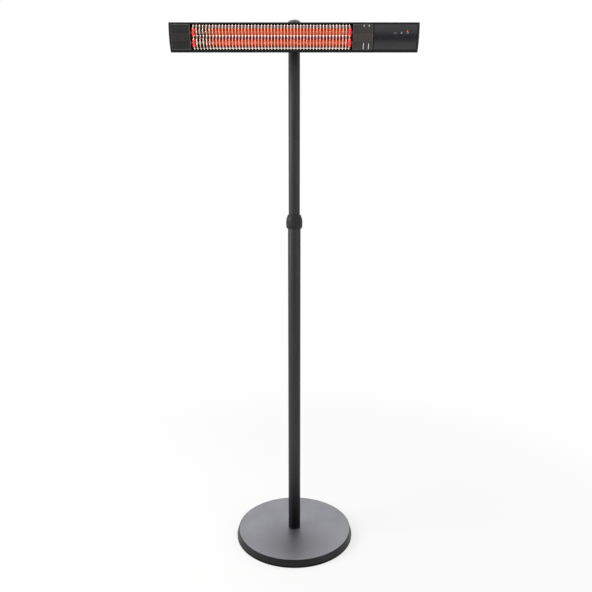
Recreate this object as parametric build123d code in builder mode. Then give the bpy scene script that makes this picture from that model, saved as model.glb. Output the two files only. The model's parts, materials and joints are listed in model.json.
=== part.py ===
from build123d import *
from math import cos, floor, radians, sin, sqrt
import os

os.makedirs("parts", exist_ok=True)

# Infrared patio heater on a telescopic mast, in millimetres.
# The origin is on the floor on the mast's axis, +Z is up and the heater faces -Y.

# ---- driving dimensions ----

# base
base_radius = 242.7
rim_draw = 7.6
base_height = 30.0
rim_wall = 3.5
rim_floor = 4.0
rim_edge_radius = 0.8
foot_ring_height = 7.0
foot_ring_width = 16.0
foot_ring_inset = 0.4
foot_ring_edge_radius = 1.5
top_plate_thickness = 2.0
weight_inset = 47.7
rim_overlap = 14.0
bottom_cover_thickness = 3.0
rim_screw_count = 8
cover_screw_count = 6
cover_screw_inset = 12.0
base_screw_radius = 2.5
base_screw_head_radius = 4.6
base_screw_length = 14.0
screw_slot_width = 0.8
screw_slot_depth = 1.2
rim_screw_head_height = 2.0
screw_hole_spare = 1.0

# mast
upper_tube_radius = 21.8
upper_tube_wall = 1.6
upper_tube_top = 2037.0
tube_clearance = 1.0
tube_overlap = 300.0
lower_tube_wall = 2.0
lower_tube_top = 1306.0
mast_insert_height = 32.0
mast_bolt_radius = 6.0
mast_bolt_reach = 26.0
mast_bolt_head_across = 19.0
mast_bolt_head_height = 7.5
mast_washer_radius = 15.0
mast_washer_thickness = 2.5
bolt_head_clearance = 1.0
guide_bush_skirt = 24.0
guide_bush_shank = 26.0
guide_bush_wall = 4.5

# twist-lock collar
collar_drop = 14.0
collar_roof = 6.0
collar_belly_rise = 6.9
collar_foot_rise = 3.5
collar_top_rise = 2.6
collar_belly_height = 24.0
grip_rib_count = 20
grip_groove_radius = 2.2
grip_groove_depth = 0.9
sleeve_wall = 2.4
sleeve_lift = 1.0
sleeve_height = 30.0
collet_height = 16.0
collet_wall = 3.6
collet_taper = 1.6
collet_slot = 2.0
collet_slot_count = 4

# mast-top fitting and tilt pivot
fitting_wall = 1.95
fitting_grip = 90.0
fitting_crown = 11.0
fitting_dome_height = 8.0
fitting_flat_radius = 14.0
top_cap_radius = 11.0
top_cap_thickness = 3.0
top_cap_rise = 1.5
set_screw_radius = 3.0
set_screw_length = 3.7
set_screw_drops = (70.0, 30.0)
pivot_reach = 14.2
pivot_drop = 61.0
pivot_radius = 4.0
pivot_nut_across = 13.0
pivot_nut_height = 5.3
tongue_width = 14.0
knuckle_radius = 13.0
friction_washer_thickness = 1.0
steel_washer_thickness = 1.2
pivot_washer_radius = 8.5
bolt_overrun = 1.9
knob_stem_radius = 9.0
knob_stem_length = 11.0
knob_grip_radius = 18.0
knob_grip_thickness = 17.0
knob_lobe_count = 5
knob_hollow_radius = 8.0
knob_hollow_depth = 3.0
knob_edge_radius = 2.5
knob_insert_radius = 7.0
knob_insert_start = 3.0
knob_insert_length = 16.0

# head: a long housing whose section is set out square to its face
head_length = 872.0
head_height = 97.0
head_depth = 50.0
face_bow = 9.6
face_tilt = 14.5
face_reach = 72.0
face_drop = 12.7
housing_wall = 2.0
housing_back_radius = 32.0
top_lip = 5.5
bottom_lip = 9.0
screw_port_radius = 3.2
screw_port_sink = 0.8
front_port_depth = 10.0
end_cap_thickness = 6.0
end_cap_edge_radius = 1.2
end_cap_spigot = 6.0
end_cap_spigot_wall = 2.0
gasket_thickness = 1.0
cap_screw_radius = 1.6
cap_screw_head_radius = 3.0
cap_screw_head_height = 2.2
cap_screw_reach = 12.0

# glowing part of the head
left_end_length = 79.0
section_gap = 5.5
grille_pitch = 11.3
grille_end_gap = 6.0
wire_radius = 1.7
rod_radius = 1.2
wire_margin = 2.5
wire_end_depth = -2.0
wire_hook = 3.0
wire_hump_depth = -15.0
wire_shoulder_drop = 8.5
wire_valley_height = 6.0
wire_valley_depth = -1.5
wire_valley_spread = 6.75
wire_hook_bend = 2.0
wire_hump_bend = 14.0
wire_valley_bend = 3.0
wire_bend_share = 0.8
valley_rod_depth = -2.6
end_rod_depth = 0.0
weld_depth = 0.3
trough_middle = -0.5
trough_height = 28.0
trough_gap = 5.0
trough_depth = 18.0
trough_front = 4.0
sheet_thickness = 0.8
trough_flange = 5.0
reflector_end_run = 12.0
lamp_radius = 5.5
lamp_wall = 1.0
lamp_depth = 12.5
lamp_overrun = 18.0
filament_width = 5.0
filament_thickness = 0.6
lamp_cap_size = 15.0
lamp_cap_length = 24.0
lamp_cap_grip = 8.0
holder_thickness = 1.5
holder_foot = 8.0
holder_margin = 3.0
shield_gap = 5.0
shield_thickness = 1.0
shield_lip = 5.0

# covers beside the glowing part
right_cover_length = 70.0
panel_gap = 3.5
cover_thickness = 2.0
cover_recess = 0.6
cover_frame_width = 1.6
cover_band_top = 15.4
cover_band_bottom = -13.0
cover_band_rise = 0.9
clip_offsets = (38.0, 56.0)
clip_width = 3.0
clip_rise = 1.4
clip_margin = 2.1
clip_lower_length = 19.0
clip_upper_length = 6.0

# control panel and electrics
panel_length = 157.5
panel_thickness = 2.5
key_offsets = (73.5, 95.0, 116.0)
key_height = 14.0
key_radius = 4.8
key_lens_thickness = 0.8
status_light_offset = 115.0
status_light_height = 20.5
status_light_radius = 1.5
board_margin = 11.3
board_height = 56.0
board_thickness = 1.6
board_depth = 10.0
board_boss_radius = 3.2
board_boss_inset = 4.5
board_boss_bore = 8.0
board_screw_radius = 1.5
board_screw_head_radius = 2.8
board_screw_head_height = 2.0
board_screw_slot = 0.6
relay_size = (28.0, 13.0, 16.0)
relay_gap = 4.0
capacitor_height = 12.8
block_length = 34.0
block_height = 22.0
block_thickness = 14.0
block_way_count = 6
block_offset = 3.0
tilt_switch_radius = 7.0
tilt_switch_length = 14.0
tilt_switch_offset = 49.0
lead_radius = 1.2
lead_bend_radius = 5.0
lead_lane = 2.6
lead_standoff = 5.0
lead_turn = 14.0

# bracket on the back of the head
bracket_length = 126.0
bracket_height = 28.0
bracket_thickness = 3.0
bracket_screw_spacing_x = 108.0
bracket_screw_spacing_y = 16.0
bracket_screw_radius = 2.5
bracket_screw_head_radius = 4.5
bracket_screw_head_height = 2.8
ear_radius = 12.0
nut_plate_thickness = 2.5
hex_socket_depth = 1.6

# cable gland on the back of the head
gland_inset = 43.0
gland_thread_radius = 8.0
gland_flange_radius = 11.5
gland_flange_height = 5.0
gland_nut_radius = 10.5
gland_nut_height = 12.0
gland_bore_radius = 4.0
gland_seal_radius = 6.5
gland_lock_nut_height = 3.0

# clearances
moving_gap = 0.3
running_gap = 0.06
fit_gap = 0.2
cover_gap = 0.4

# ---- derived sizes ----

rim_floor_top = foot_ring_height + rim_floor
base_top_radius = base_radius - rim_draw
weight_radius = base_radius - weight_inset
weight_top = base_height - top_plate_thickness
weight_thickness = weight_top - rim_floor_top
lower_tube_radius = upper_tube_radius + tube_clearance + lower_tube_wall
upper_tube_bottom = lower_tube_top - tube_overlap
fitting_radius = upper_tube_radius + fitting_wall
pivot_y = -upper_tube_radius - pivot_reach
pivot_z = upper_tube_top - pivot_drop
face_mid_y = pivot_y - face_reach
face_mid_z = pivot_z - face_drop
half_height = head_height / 2
half_length = head_length / 2
face_radius = (half_height**2 + face_bow**2) / (2 * face_bow)
face_centre_depth = face_radius - face_bow
tilt_cos = cos(radians(face_tilt))
tilt_sin = sin(radians(face_tilt))
opening_top = half_height - top_lip
opening_bottom = bottom_lip - half_height
opening_middle = (opening_top + opening_bottom) / 2
lower_tube_bore = lower_tube_radius - lower_tube_wall
upper_tube_bore = upper_tube_radius - upper_tube_wall
weight_bottom = weight_top - weight_thickness
washer_pocket_depth = mast_washer_thickness + mast_bolt_head_height + bolt_head_clearance
housing_end = half_length - end_cap_thickness - gasket_thickness
housing_floor = head_depth - housing_wall
left_cover_left = cover_gap - housing_end
grille_left = left_end_length - half_length
left_cover_right = grille_left - section_gap
panel_right = housing_end - cover_gap
panel_left = half_length - panel_length
right_cover_right = panel_left - panel_gap
right_cover_left = right_cover_right - right_cover_length
grille_right = right_cover_left - section_gap
lamp_left = grille_left - lamp_overrun
lamp_right = grille_right + lamp_overrun
pivot_depth = (pivot_y - face_mid_y) * tilt_cos + (pivot_z - face_mid_z) * tilt_sin
pivot_height = (pivot_z - face_mid_z) * tilt_cos - (pivot_y - face_mid_y) * tilt_sin
trough_centres = (
    trough_middle + (trough_height + trough_gap) / 2,
    trough_middle - (trough_height + trough_gap) / 2,
)


def cross_plane(x):
    """Section plane of the head at x: local X runs back from the face, local Y up along it."""
    return Plane(origin=(x, face_mid_y, face_mid_z), x_dir=(0, tilt_cos, tilt_sin), z_dir=(1, 0, 0))


def face_plane(depth):
    """Plane square to the face's normal at a depth: local X is the heater's X, local Y runs up."""
    origin = (0, face_mid_y + depth * tilt_cos, face_mid_z + depth * tilt_sin)
    return Plane(origin=origin, x_dir=(1, 0, 0), z_dir=(0, -tilt_cos, -tilt_sin))


def bow(height, inset=0.0):
    """Depth of the bowed face at a height on it, or of a surface set in from it."""
    return face_centre_depth - sqrt((face_radius - inset) ** 2 - height**2)


def bowed_strip(top, bottom, outer_inset, inner_inset):
    """Closed outline, in the section plane, of a shell that follows the face."""
    middle = (top + bottom) / 2
    with BuildLine() as outline:
        ThreePointArc(
            (bow(top, outer_inset), top),
            (bow(middle, outer_inset), middle),
            (bow(bottom, outer_inset), bottom),
        )
        Line((bow(bottom, outer_inset), bottom), (bow(bottom, inner_inset), bottom))
        ThreePointArc(
            (bow(bottom, inner_inset), bottom),
            (bow(middle, inner_inset), middle),
            (bow(top, inner_inset), top),
        )
        Line((bow(top, inner_inset), top), (bow(top, outer_inset), top))
    return outline.line


def housing_outline():
    """Outer section of the housing: bowed face, straight flanks, rounded back."""
    corner = housing_back_radius
    flank = head_depth - corner
    back = half_height - corner
    slant = corner * sqrt(0.5)
    with BuildLine() as outline:
        ThreePointArc((0, half_height), (-face_bow, 0), (0, -half_height))
        Line((0, -half_height), (flank, -half_height))
        ThreePointArc((flank, -half_height), (flank + slant, -back - slant), (head_depth, -back))
        Line((head_depth, -back), (head_depth, back))
        ThreePointArc((head_depth, back), (flank + slant, back + slant), (flank, half_height))
        Line((flank, half_height), (0, half_height))
    return outline.line


def save(piece, label):
    piece.part.label = label
    export_step(piece.part, "parts/" + label + ".step")


# ---- base ----

rim_top_bore = base_top_radius - rim_wall / 2
rim_floor_bore = weight_radius - rim_overlap
rim_inner_radius = base_top_radius - rim_wall

with BuildPart() as base_rim:
    with BuildSketch(Plane.XZ):
        with BuildLine():
            Polyline(
                (rim_floor_bore, foot_ring_height),
                (base_radius, foot_ring_height),
                (base_top_radius, base_height),
                (rim_top_bore, base_height),
                (rim_top_bore, weight_top),
                (rim_inner_radius, weight_top),
                (base_radius - rim_wall, rim_floor_top),
                (rim_floor_bore, rim_floor_top),
                close=True,
            )
        make_face()
    revolve(axis=Axis.Z)
    fillet(base_rim.edges().filter_by(GeomType.CIRCLE).group_by(SortBy.RADIUS)[-1], rim_edge_radius)
    rim_screw_circle = weight_radius - rim_overlap / 2
    with BuildSketch(Plane.XY.offset(foot_ring_height)):
        with PolarLocations(rim_screw_circle, rim_screw_count):
            Circle(base_screw_radius)
    extrude(amount=rim_floor, mode=Mode.SUBTRACT)

save(base_rim, "base_rim")

with BuildPart() as foot_ring:
    ring_outer = base_radius - rim_edge_radius - foot_ring_inset
    with BuildSketch():
        Circle(ring_outer)
        Circle(ring_outer - foot_ring_width, mode=Mode.SUBTRACT)
    extrude(amount=foot_ring_height)
    fillet(foot_ring.faces().sort_by(Axis.Z)[0].edges(), foot_ring_edge_radius)

save(foot_ring, "foot_ring")

with BuildPart() as base_weight:
    with BuildSketch(Plane.XY.offset(weight_bottom)):
        Circle(weight_radius)
        Circle(mast_bolt_radius + fit_gap, mode=Mode.SUBTRACT)
    extrude(amount=weight_thickness)
    with BuildSketch(Plane.XY.offset(weight_bottom)):
        Circle(mast_washer_radius + 1)
    extrude(amount=washer_pocket_depth, mode=Mode.SUBTRACT)
    with BuildSketch(Plane.XY.offset(weight_bottom)):
        with PolarLocations(rim_screw_circle, rim_screw_count):
            Circle(base_screw_radius)
        with PolarLocations(rim_floor_bore - cover_screw_inset, cover_screw_count):
            Circle(base_screw_radius)
    extrude(amount=base_screw_length, mode=Mode.SUBTRACT)
    chamfer(base_weight.faces().sort_by(Axis.Z)[-1].edges().sort_by(SortBy.RADIUS)[-1], 1)

save(base_weight, "base_weight")

with BuildPart() as base_top_plate:
    with BuildSketch(Plane.XY.offset(weight_top)):
        Circle(rim_top_bore - fit_gap)
        Circle(mast_bolt_radius + fit_gap, mode=Mode.SUBTRACT)
    extrude(amount=top_plate_thickness)

save(base_top_plate, "base_top_plate")

cover_bottom = weight_bottom - bottom_cover_thickness
cover_screw_circle = rim_floor_bore - cover_screw_inset

with BuildPart() as base_bottom_cover:
    with BuildSketch(Plane.XY.offset(cover_bottom)):
        Circle(rim_floor_bore - cover_gap)
    extrude(amount=bottom_cover_thickness)
    with Locations(Plane.XY.offset(cover_bottom).rotated((180, 0, 0))):
        with PolarLocations(cover_screw_circle, cover_screw_count):
            CounterSinkHole(base_screw_radius, base_screw_head_radius, depth=bottom_cover_thickness)

save(base_bottom_cover, "base_bottom_cover")


def countersunk_screw(length):
    """Countersunk screw, head face at z = 0 and shank upward."""
    with BuildPart() as screw:
        with BuildSketch(Plane.XZ):
            with BuildLine():
                Polyline(
                    (0, 0),
                    (base_screw_head_radius, 0),
                    (base_screw_radius, base_screw_head_radius - base_screw_radius),
                    (base_screw_radius, length),
                    (0, length),
                    close=True,
                )
            make_face()
        revolve(axis=Axis.Z)
        with BuildSketch():
            Rectangle(base_screw_head_radius, screw_slot_width)
            Rectangle(screw_slot_width, base_screw_head_radius)
        extrude(amount=screw_slot_depth, mode=Mode.SUBTRACT)
    return screw.part


with BuildPart() as bottom_cover_screws:
    with Locations(Plane.XY.offset(cover_bottom)):
        with PolarLocations(cover_screw_circle, cover_screw_count):
            add(countersunk_screw(base_screw_length))

save(bottom_cover_screws, "bottom_cover_screws")

rim_screw_head_bottom = foot_ring_height - rim_screw_head_height

with BuildPart() as rim_screws:
    with BuildSketch(Plane.XY.offset(foot_ring_height)):
        with PolarLocations(rim_screw_circle, rim_screw_count):
            Circle(base_screw_radius)
    extrude(amount=rim_floor + base_screw_length - screw_hole_spare)
    with BuildSketch(Plane.XY.offset(rim_screw_head_bottom)):
        with PolarLocations(rim_screw_circle, rim_screw_count):
            Circle(base_screw_head_radius)
    extrude(amount=rim_screw_head_height)
    with BuildSketch(Plane.XY.offset(rim_screw_head_bottom)):
        with PolarLocations(rim_screw_circle, rim_screw_count):
            RegularPolygon(base_screw_radius / 2, 6)
    extrude(amount=screw_slot_depth, mode=Mode.SUBTRACT)

save(rim_screws, "rim_screws")

# ---- mast foot ----

pocket_top = weight_bottom + washer_pocket_depth
washer_bottom = pocket_top - mast_washer_thickness

with BuildPart() as mast_washer:
    with BuildSketch(Plane.XY.offset(washer_bottom)):
        Circle(mast_washer_radius)
        Circle(mast_bolt_radius + fit_gap, mode=Mode.SUBTRACT)
    extrude(amount=mast_washer_thickness)
    chamfer(mast_washer.edges().filter_by(GeomType.CIRCLE).group_by(SortBy.RADIUS)[-1], 0.4)

save(mast_washer, "mast_washer")

with BuildPart() as mast_bolt:
    with BuildSketch(Plane.XY.offset(washer_bottom - mast_bolt_head_height)):
        RegularPolygon(mast_bolt_head_across / 2, 6, major_radius=False)
    extrude(amount=mast_bolt_head_height)
    chamfer(mast_bolt.faces().sort_by(Axis.Z)[0].edges(), 0.8)
    with BuildSketch(Plane.XY.offset(washer_bottom)):
        Circle(mast_bolt_radius)
    extrude(amount=base_height + mast_bolt_reach - washer_bottom)
    chamfer(mast_bolt.faces().sort_by(Axis.Z)[-1].edges(), 1)

save(mast_bolt, "mast_bolt")

with BuildPart() as mast_foot_insert:
    with BuildSketch(Plane.XY.offset(base_height)):
        Circle(lower_tube_bore)
        Circle(mast_bolt_radius, mode=Mode.SUBTRACT)
    extrude(amount=mast_insert_height)
    chamfer(mast_foot_insert.faces().sort_by(Axis.Z)[-1].edges().group_by(SortBy.RADIUS)[-1], 1.5)

save(mast_foot_insert, "mast_foot_insert")

with BuildPart() as lower_tube:
    with BuildSketch(Plane.XY.offset(base_height)):
        Circle(lower_tube_radius)
        Circle(lower_tube_bore, mode=Mode.SUBTRACT)
    extrude(amount=lower_tube_top - base_height)

save(lower_tube, "lower_tube")

# ---- twist-lock collar ----

collar_bottom = lower_tube_top - collar_drop
sleeve_bottom = collar_bottom + sleeve_lift
sleeve_top = sleeve_bottom + sleeve_height
sleeve_outer = lower_tube_radius + sleeve_wall
slide_bore = upper_tube_radius + moving_gap
collet_bottom = sleeve_top
collet_top = collet_bottom + collet_height
collet_outer = slide_bore + collet_wall
collar_top = collet_top + collar_roof
collar_radius = lower_tube_radius + collar_belly_rise
collar_foot_radius = lower_tube_radius + collar_foot_rise
collar_top_radius = upper_tube_radius + collar_top_rise

with BuildPart() as collar_sleeve:
    with BuildSketch(Plane.XY.offset(sleeve_bottom)):
        Circle(sleeve_outer)
        Circle(lower_tube_radius, mode=Mode.SUBTRACT)
    extrude(amount=lower_tube_top - sleeve_bottom)
    with BuildSketch(Plane.XY.offset(lower_tube_top)):
        Circle(sleeve_outer)
        Circle(slide_bore, mode=Mode.SUBTRACT)
    extrude(amount=sleeve_top - lower_tube_top)
    chamfer(collar_sleeve.faces().sort_by(Axis.Z)[-1].edges().group_by(SortBy.RADIUS)[-1], 0.8)

save(collar_sleeve, "collar_sleeve")

with BuildPart() as collar_collet:
    with BuildSketch(Plane.XZ):
        with BuildLine():
            Polyline(
                (slide_bore, collet_bottom),
                (collet_outer, collet_bottom),
                (collet_outer - collet_taper, collet_top),
                (slide_bore, collet_top),
                close=True,
            )
        make_face()
    revolve(axis=Axis.Z)
    with BuildSketch(Plane.XY.offset(collet_bottom + collet_height / 4)):
        with PolarLocations(slide_bore + collet_wall / 2, collet_slot_count):
            Rectangle(collet_wall * 2, collet_slot)
    extrude(amount=collet_height, mode=Mode.SUBTRACT)

save(collar_collet, "collar_collet")

nut_bore = sleeve_outer + moving_gap
collet_clearance = collet_outer + moving_gap
belly_z = collar_bottom + collar_belly_height

with BuildPart() as lock_nut:
    with BuildSketch(Plane.XZ):
        with BuildLine():
            Spline(
                (collar_foot_radius, collar_bottom),
                (collar_radius, belly_z),
                (collar_top_radius, collar_top),
                tangents=((1, 1.6), (0, 1), (-1, 1.1)),
            )
            Polyline(
                (collar_top_radius, collar_top),
                (slide_bore + fit_gap, collar_top),
                (slide_bore + fit_gap, collet_top + moving_gap),
                (collet_clearance - collet_taper, collet_top + moving_gap),
                (collet_clearance, sleeve_top + moving_gap),
                (nut_bore, sleeve_top + moving_gap),
                (nut_bore, collar_bottom),
                (collar_foot_radius, collar_bottom),
            )
        make_face()
    revolve(axis=Axis.Z)
    groove_centre = collar_radius + grip_groove_radius - grip_groove_depth
    with BuildSketch(Plane.XY.offset(collar_bottom)):
        with PolarLocations(groove_centre, grip_rib_count):
            Circle(grip_groove_radius)
    extrude(amount=collar_top - collar_bottom, mode=Mode.SUBTRACT)

save(lock_nut, "lock_nut")

# ---- upper mast ----

with BuildPart() as upper_tube:
    with BuildSketch(Plane.XY.offset(upper_tube_bottom)):
        Circle(upper_tube_radius)
        Circle(upper_tube_bore, mode=Mode.SUBTRACT)
    extrude(amount=upper_tube_top - upper_tube_bottom)

save(upper_tube, "upper_tube")

with BuildPart() as guide_bush:
    with BuildSketch(Plane.XY.offset(upper_tube_bottom - guide_bush_skirt)):
        Circle(lower_tube_bore - moving_gap)
    extrude(amount=guide_bush_skirt)
    with BuildSketch(Plane.XY.offset(upper_tube_bottom)):
        Circle(upper_tube_bore)
    extrude(amount=guide_bush_shank)
    chamfer(guide_bush.faces().sort_by(Axis.Z)[-1].edges(), 1)
    with BuildSketch(Plane.XY.offset(upper_tube_bottom - guide_bush_skirt)):
        Circle(upper_tube_bore - guide_bush_wall)
    extrude(amount=guide_bush_skirt + guide_bush_shank, mode=Mode.SUBTRACT)

save(guide_bush, "guide_bush")

fitting_bottom = upper_tube_top - fitting_grip
fitting_top = upper_tube_top + fitting_crown
set_screw_heights = [upper_tube_top - drop for drop in set_screw_drops]
fitting_shoulder = fitting_top - fitting_dome_height
cap_pocket_floor = fitting_top - top_cap_thickness + top_cap_rise

with BuildPart() as mast_head_fitting:
    with BuildSketch(Plane.XZ):
        with BuildLine():
            Polyline(
                (upper_tube_radius, fitting_bottom),
                (fitting_radius, fitting_bottom),
                (fitting_radius, fitting_shoulder),
            )
            ThreePointArc(
                (fitting_radius, fitting_shoulder),
                (
                    fitting_flat_radius + (fitting_radius - fitting_flat_radius) * 0.72,
                    fitting_shoulder + fitting_dome_height * 0.66,
                ),
                (fitting_flat_radius, fitting_top),
            )
            Polyline(
                (fitting_flat_radius, fitting_top),
                (top_cap_radius, fitting_top),
                (top_cap_radius, cap_pocket_floor),
                (0, cap_pocket_floor),
                (0, upper_tube_top),
                (upper_tube_radius, upper_tube_top),
                (upper_tube_radius, fitting_bottom),
            )
        make_face()
    revolve(axis=Axis.Z)
    with BuildSketch(Plane.YZ.offset(-tongue_width / 2)):
        with Locations((pivot_y, pivot_z)):
            Circle(knuckle_radius)
        with Locations(((pivot_y - upper_tube_radius) / 2, pivot_z)):
            Rectangle(abs(pivot_y) - upper_tube_radius, 2 * knuckle_radius)
    extrude(amount=tongue_width)
    with BuildSketch(Plane.YZ.offset(-tongue_width / 2)):
        with Locations((pivot_y, pivot_z)):
            Circle(pivot_radius)
    extrude(amount=tongue_width, mode=Mode.SUBTRACT)
    with BuildSketch(Plane.XZ.offset(-fitting_radius)):
        with Locations(*[(0, height) for height in set_screw_heights]):
            Circle(set_screw_radius)
    extrude(amount=fitting_wall, mode=Mode.SUBTRACT)

save(mast_head_fitting, "mast_head_fitting")

with BuildPart() as mast_top_cap:
    with BuildSketch(Plane.XY.offset(cap_pocket_floor)):
        Circle(top_cap_radius)
    extrude(amount=top_cap_thickness)
    fillet(mast_top_cap.faces().sort_by(Axis.Z)[-1].edges(), 1)

save(mast_top_cap, "mast_top_cap")

with BuildPart() as fitting_set_screws:
    with BuildSketch(Plane.XZ.offset(-upper_tube_radius)):
        with Locations(*[(0, height) for height in set_screw_heights]):
            Circle(set_screw_radius)
    extrude(amount=-set_screw_length)
    with BuildSketch(Plane.XZ.offset(-upper_tube_radius - set_screw_length)):
        with Locations(*[(0, height) for height in set_screw_heights]):
            RegularPolygon(set_screw_radius / 2, 6)
    extrude(amount=hex_socket_depth, mode=Mode.SUBTRACT)

save(fitting_set_screws, "fitting_set_screws")

# ---- tilt pivot, stacked outwards along X from the tongue ----

ear_inner = tongue_width / 2 + friction_washer_thickness + moving_gap
ear_outer = ear_inner + bracket_thickness
washer_inner = ear_outer + moving_gap
washer_outer = washer_inner + steel_washer_thickness
knob_inner = washer_outer + moving_gap
grip_inner = knob_inner + knob_stem_length
insert_inner = knob_inner + knob_insert_start
insert_outer = insert_inner + knob_insert_length
pivot_bolt_reach = insert_outer + bolt_overrun


def pivot_disc(x, radius, thickness, bore):
    """Washer about the tilt axis, from x outwards."""
    with BuildPart() as disc:
        with BuildSketch(Plane.YZ.offset(x)):
            with Locations((pivot_y, pivot_z)):
                Circle(radius)
                Circle(bore, mode=Mode.SUBTRACT)
        extrude(amount=thickness)
    return disc.part


with BuildPart() as friction_washers:
    add(pivot_disc(tongue_width / 2, knuckle_radius - 1, friction_washer_thickness, pivot_radius))
    mirror(about=Plane.YZ)

save(friction_washers, "friction_washers")

with BuildPart() as pivot_washers:
    add(pivot_disc(washer_inner, pivot_washer_radius, steel_washer_thickness, pivot_radius))
    mirror(about=Plane.YZ)

save(pivot_washers, "pivot_washers")

with BuildPart() as pivot_bolt:
    with BuildSketch(Plane.YZ.offset(-washer_outer)):
        with Locations((pivot_y, pivot_z)):
            Circle(pivot_radius)
    extrude(amount=washer_outer + pivot_bolt_reach)
    chamfer(pivot_bolt.faces().sort_by(Axis.X)[-1].edges(), 0.6)
    with BuildSketch(Plane.YZ.offset(-washer_outer - pivot_nut_height)):
        with Locations((pivot_y, pivot_z)):
            RegularPolygon(pivot_nut_across / 2, 6, major_radius=False)
    extrude(amount=pivot_nut_height)
    chamfer(pivot_bolt.faces().sort_by(Axis.X)[0].edges(), 0.6)

save(pivot_bolt, "pivot_bolt")

with BuildPart() as tilt_knob:
    with BuildSketch(Plane.YZ.offset(knob_inner)):
        with Locations((pivot_y, pivot_z)):
            Circle(knob_stem_radius)
    extrude(amount=knob_stem_length)
    with BuildSketch(Plane.YZ.offset(grip_inner)):
        with Locations((pivot_y, pivot_z)):
            Circle(knob_grip_radius)
            with PolarLocations(knob_grip_radius + knob_hollow_radius - knob_hollow_depth, knob_lobe_count):
                Circle(knob_hollow_radius, mode=Mode.SUBTRACT)
    extrude(amount=knob_grip_thickness)
    fillet(tilt_knob.faces().sort_by(Axis.X)[-1].edges(), knob_edge_radius)
    with BuildSketch(Plane.YZ.offset(knob_inner)):
        with Locations((pivot_y, pivot_z)):
            Circle(pivot_radius + moving_gap)
    extrude(amount=pivot_bolt_reach + bolt_overrun - knob_inner, mode=Mode.SUBTRACT)
    with BuildSketch(Plane.YZ.offset(insert_inner)):
        with Locations((pivot_y, pivot_z)):
            Circle(knob_insert_radius)
    extrude(amount=knob_insert_length, mode=Mode.SUBTRACT)

save(tilt_knob, "tilt_knob")

with BuildPart() as knob_insert:
    add(pivot_disc(insert_inner, knob_insert_radius, knob_insert_length, pivot_radius + running_gap))

save(knob_insert, "knob_insert")

# ---- bracket on the back of the head ----

bracket_back = head_depth + bracket_thickness

with BuildPart() as head_bracket:
    with BuildSketch(face_plane(bracket_back)):
        RectangleRounded(bracket_length, bracket_height, 5)
        with GridLocations(bracket_screw_spacing_x, bracket_screw_spacing_y, 2, 2):
            Circle(bracket_screw_radius, mode=Mode.SUBTRACT)
    extrude(amount=bracket_thickness)
    for ear_start in (ear_inner, -ear_outer):
        with BuildSketch(cross_plane(ear_start)):
            with Locations((pivot_depth, pivot_height)):
                Circle(ear_radius)
            with Locations((head_depth + bracket_thickness / 2, 0)):
                Rectangle(bracket_thickness, bracket_height - 4)
            make_hull()
            with Locations((pivot_depth, pivot_height)):
                Circle(pivot_radius + running_gap, mode=Mode.SUBTRACT)
        extrude(amount=bracket_thickness)

save(head_bracket, "head_bracket")

with BuildPart() as nut_plate:
    with BuildSketch(face_plane(head_depth - housing_wall)):
        RectangleRounded(bracket_length, bracket_height - 2, 4)
        with GridLocations(bracket_screw_spacing_x, bracket_screw_spacing_y, 2, 2):
            Circle(bracket_screw_radius, mode=Mode.SUBTRACT)
    extrude(amount=nut_plate_thickness)

save(nut_plate, "nut_plate")

with BuildPart() as bracket_screws:
    with BuildSketch(face_plane(bracket_back)):
        with GridLocations(bracket_screw_spacing_x, bracket_screw_spacing_y, 2, 2):
            Circle(bracket_screw_radius)
    extrude(amount=bracket_thickness + housing_wall + nut_plate_thickness + 1)
    with BuildSketch(face_plane(bracket_back + bracket_screw_head_height)):
        with GridLocations(bracket_screw_spacing_x, bracket_screw_spacing_y, 2, 2):
            Circle(bracket_screw_head_radius)
    extrude(amount=bracket_screw_head_height)
    with BuildSketch(face_plane(bracket_back + bracket_screw_head_height)):
        with GridLocations(bracket_screw_spacing_x, bracket_screw_spacing_y, 2, 2):
            RegularPolygon(bracket_screw_radius * 0.6, 6)
    extrude(amount=hex_socket_depth, mode=Mode.SUBTRACT)

save(bracket_screws, "bracket_screws")

# ---- housing ----

gland_x = grille_right - gland_inset

port_inset = housing_wall + screw_port_radius - screw_port_sink
back_corner = housing_back_radius - port_inset
port_shift = back_corner * sqrt(0.5)
port_centres = [
    (head_depth - housing_back_radius + port_shift, half_height - housing_back_radius + port_shift),
    (head_depth - housing_back_radius + port_shift, housing_back_radius - half_height - port_shift),
    (front_port_depth, half_height - port_inset),
    (front_port_depth, port_inset - half_height),
]

with BuildPart() as head_housing:
    with BuildSketch(cross_plane(-housing_end)):
        add(make_face(housing_outline(), mode=Mode.PRIVATE))
        offset(amount=-housing_wall, kind=Kind.INTERSECTION, mode=Mode.SUBTRACT)
        with Locations((-face_bow, opening_middle)):
            Rectangle(2 * face_bow + 4, opening_top - opening_bottom, mode=Mode.SUBTRACT)
        with Locations(*port_centres):
            Circle(screw_port_radius)
        with Locations(*port_centres):
            Circle(cap_screw_radius, mode=Mode.SUBTRACT)
    extrude(amount=2 * housing_end)
    with BuildSketch(face_plane(head_depth)):
        with GridLocations(bracket_screw_spacing_x, bracket_screw_spacing_y, 2, 2):
            Circle(bracket_screw_radius)
        with Locations((gland_x, 0)):
            Circle(gland_thread_radius)
    extrude(amount=housing_wall, mode=Mode.SUBTRACT)

save(head_housing, "head_housing")


def inner_section():
    """Section of the space inside the housing's walls."""
    with BuildSketch(mode=Mode.PRIVATE) as section:
        add(make_face(housing_outline(), mode=Mode.PRIVATE))
        offset(amount=-housing_wall - fit_gap, kind=Kind.INTERSECTION, mode=Mode.REPLACE)
    return section.sketch


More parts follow.
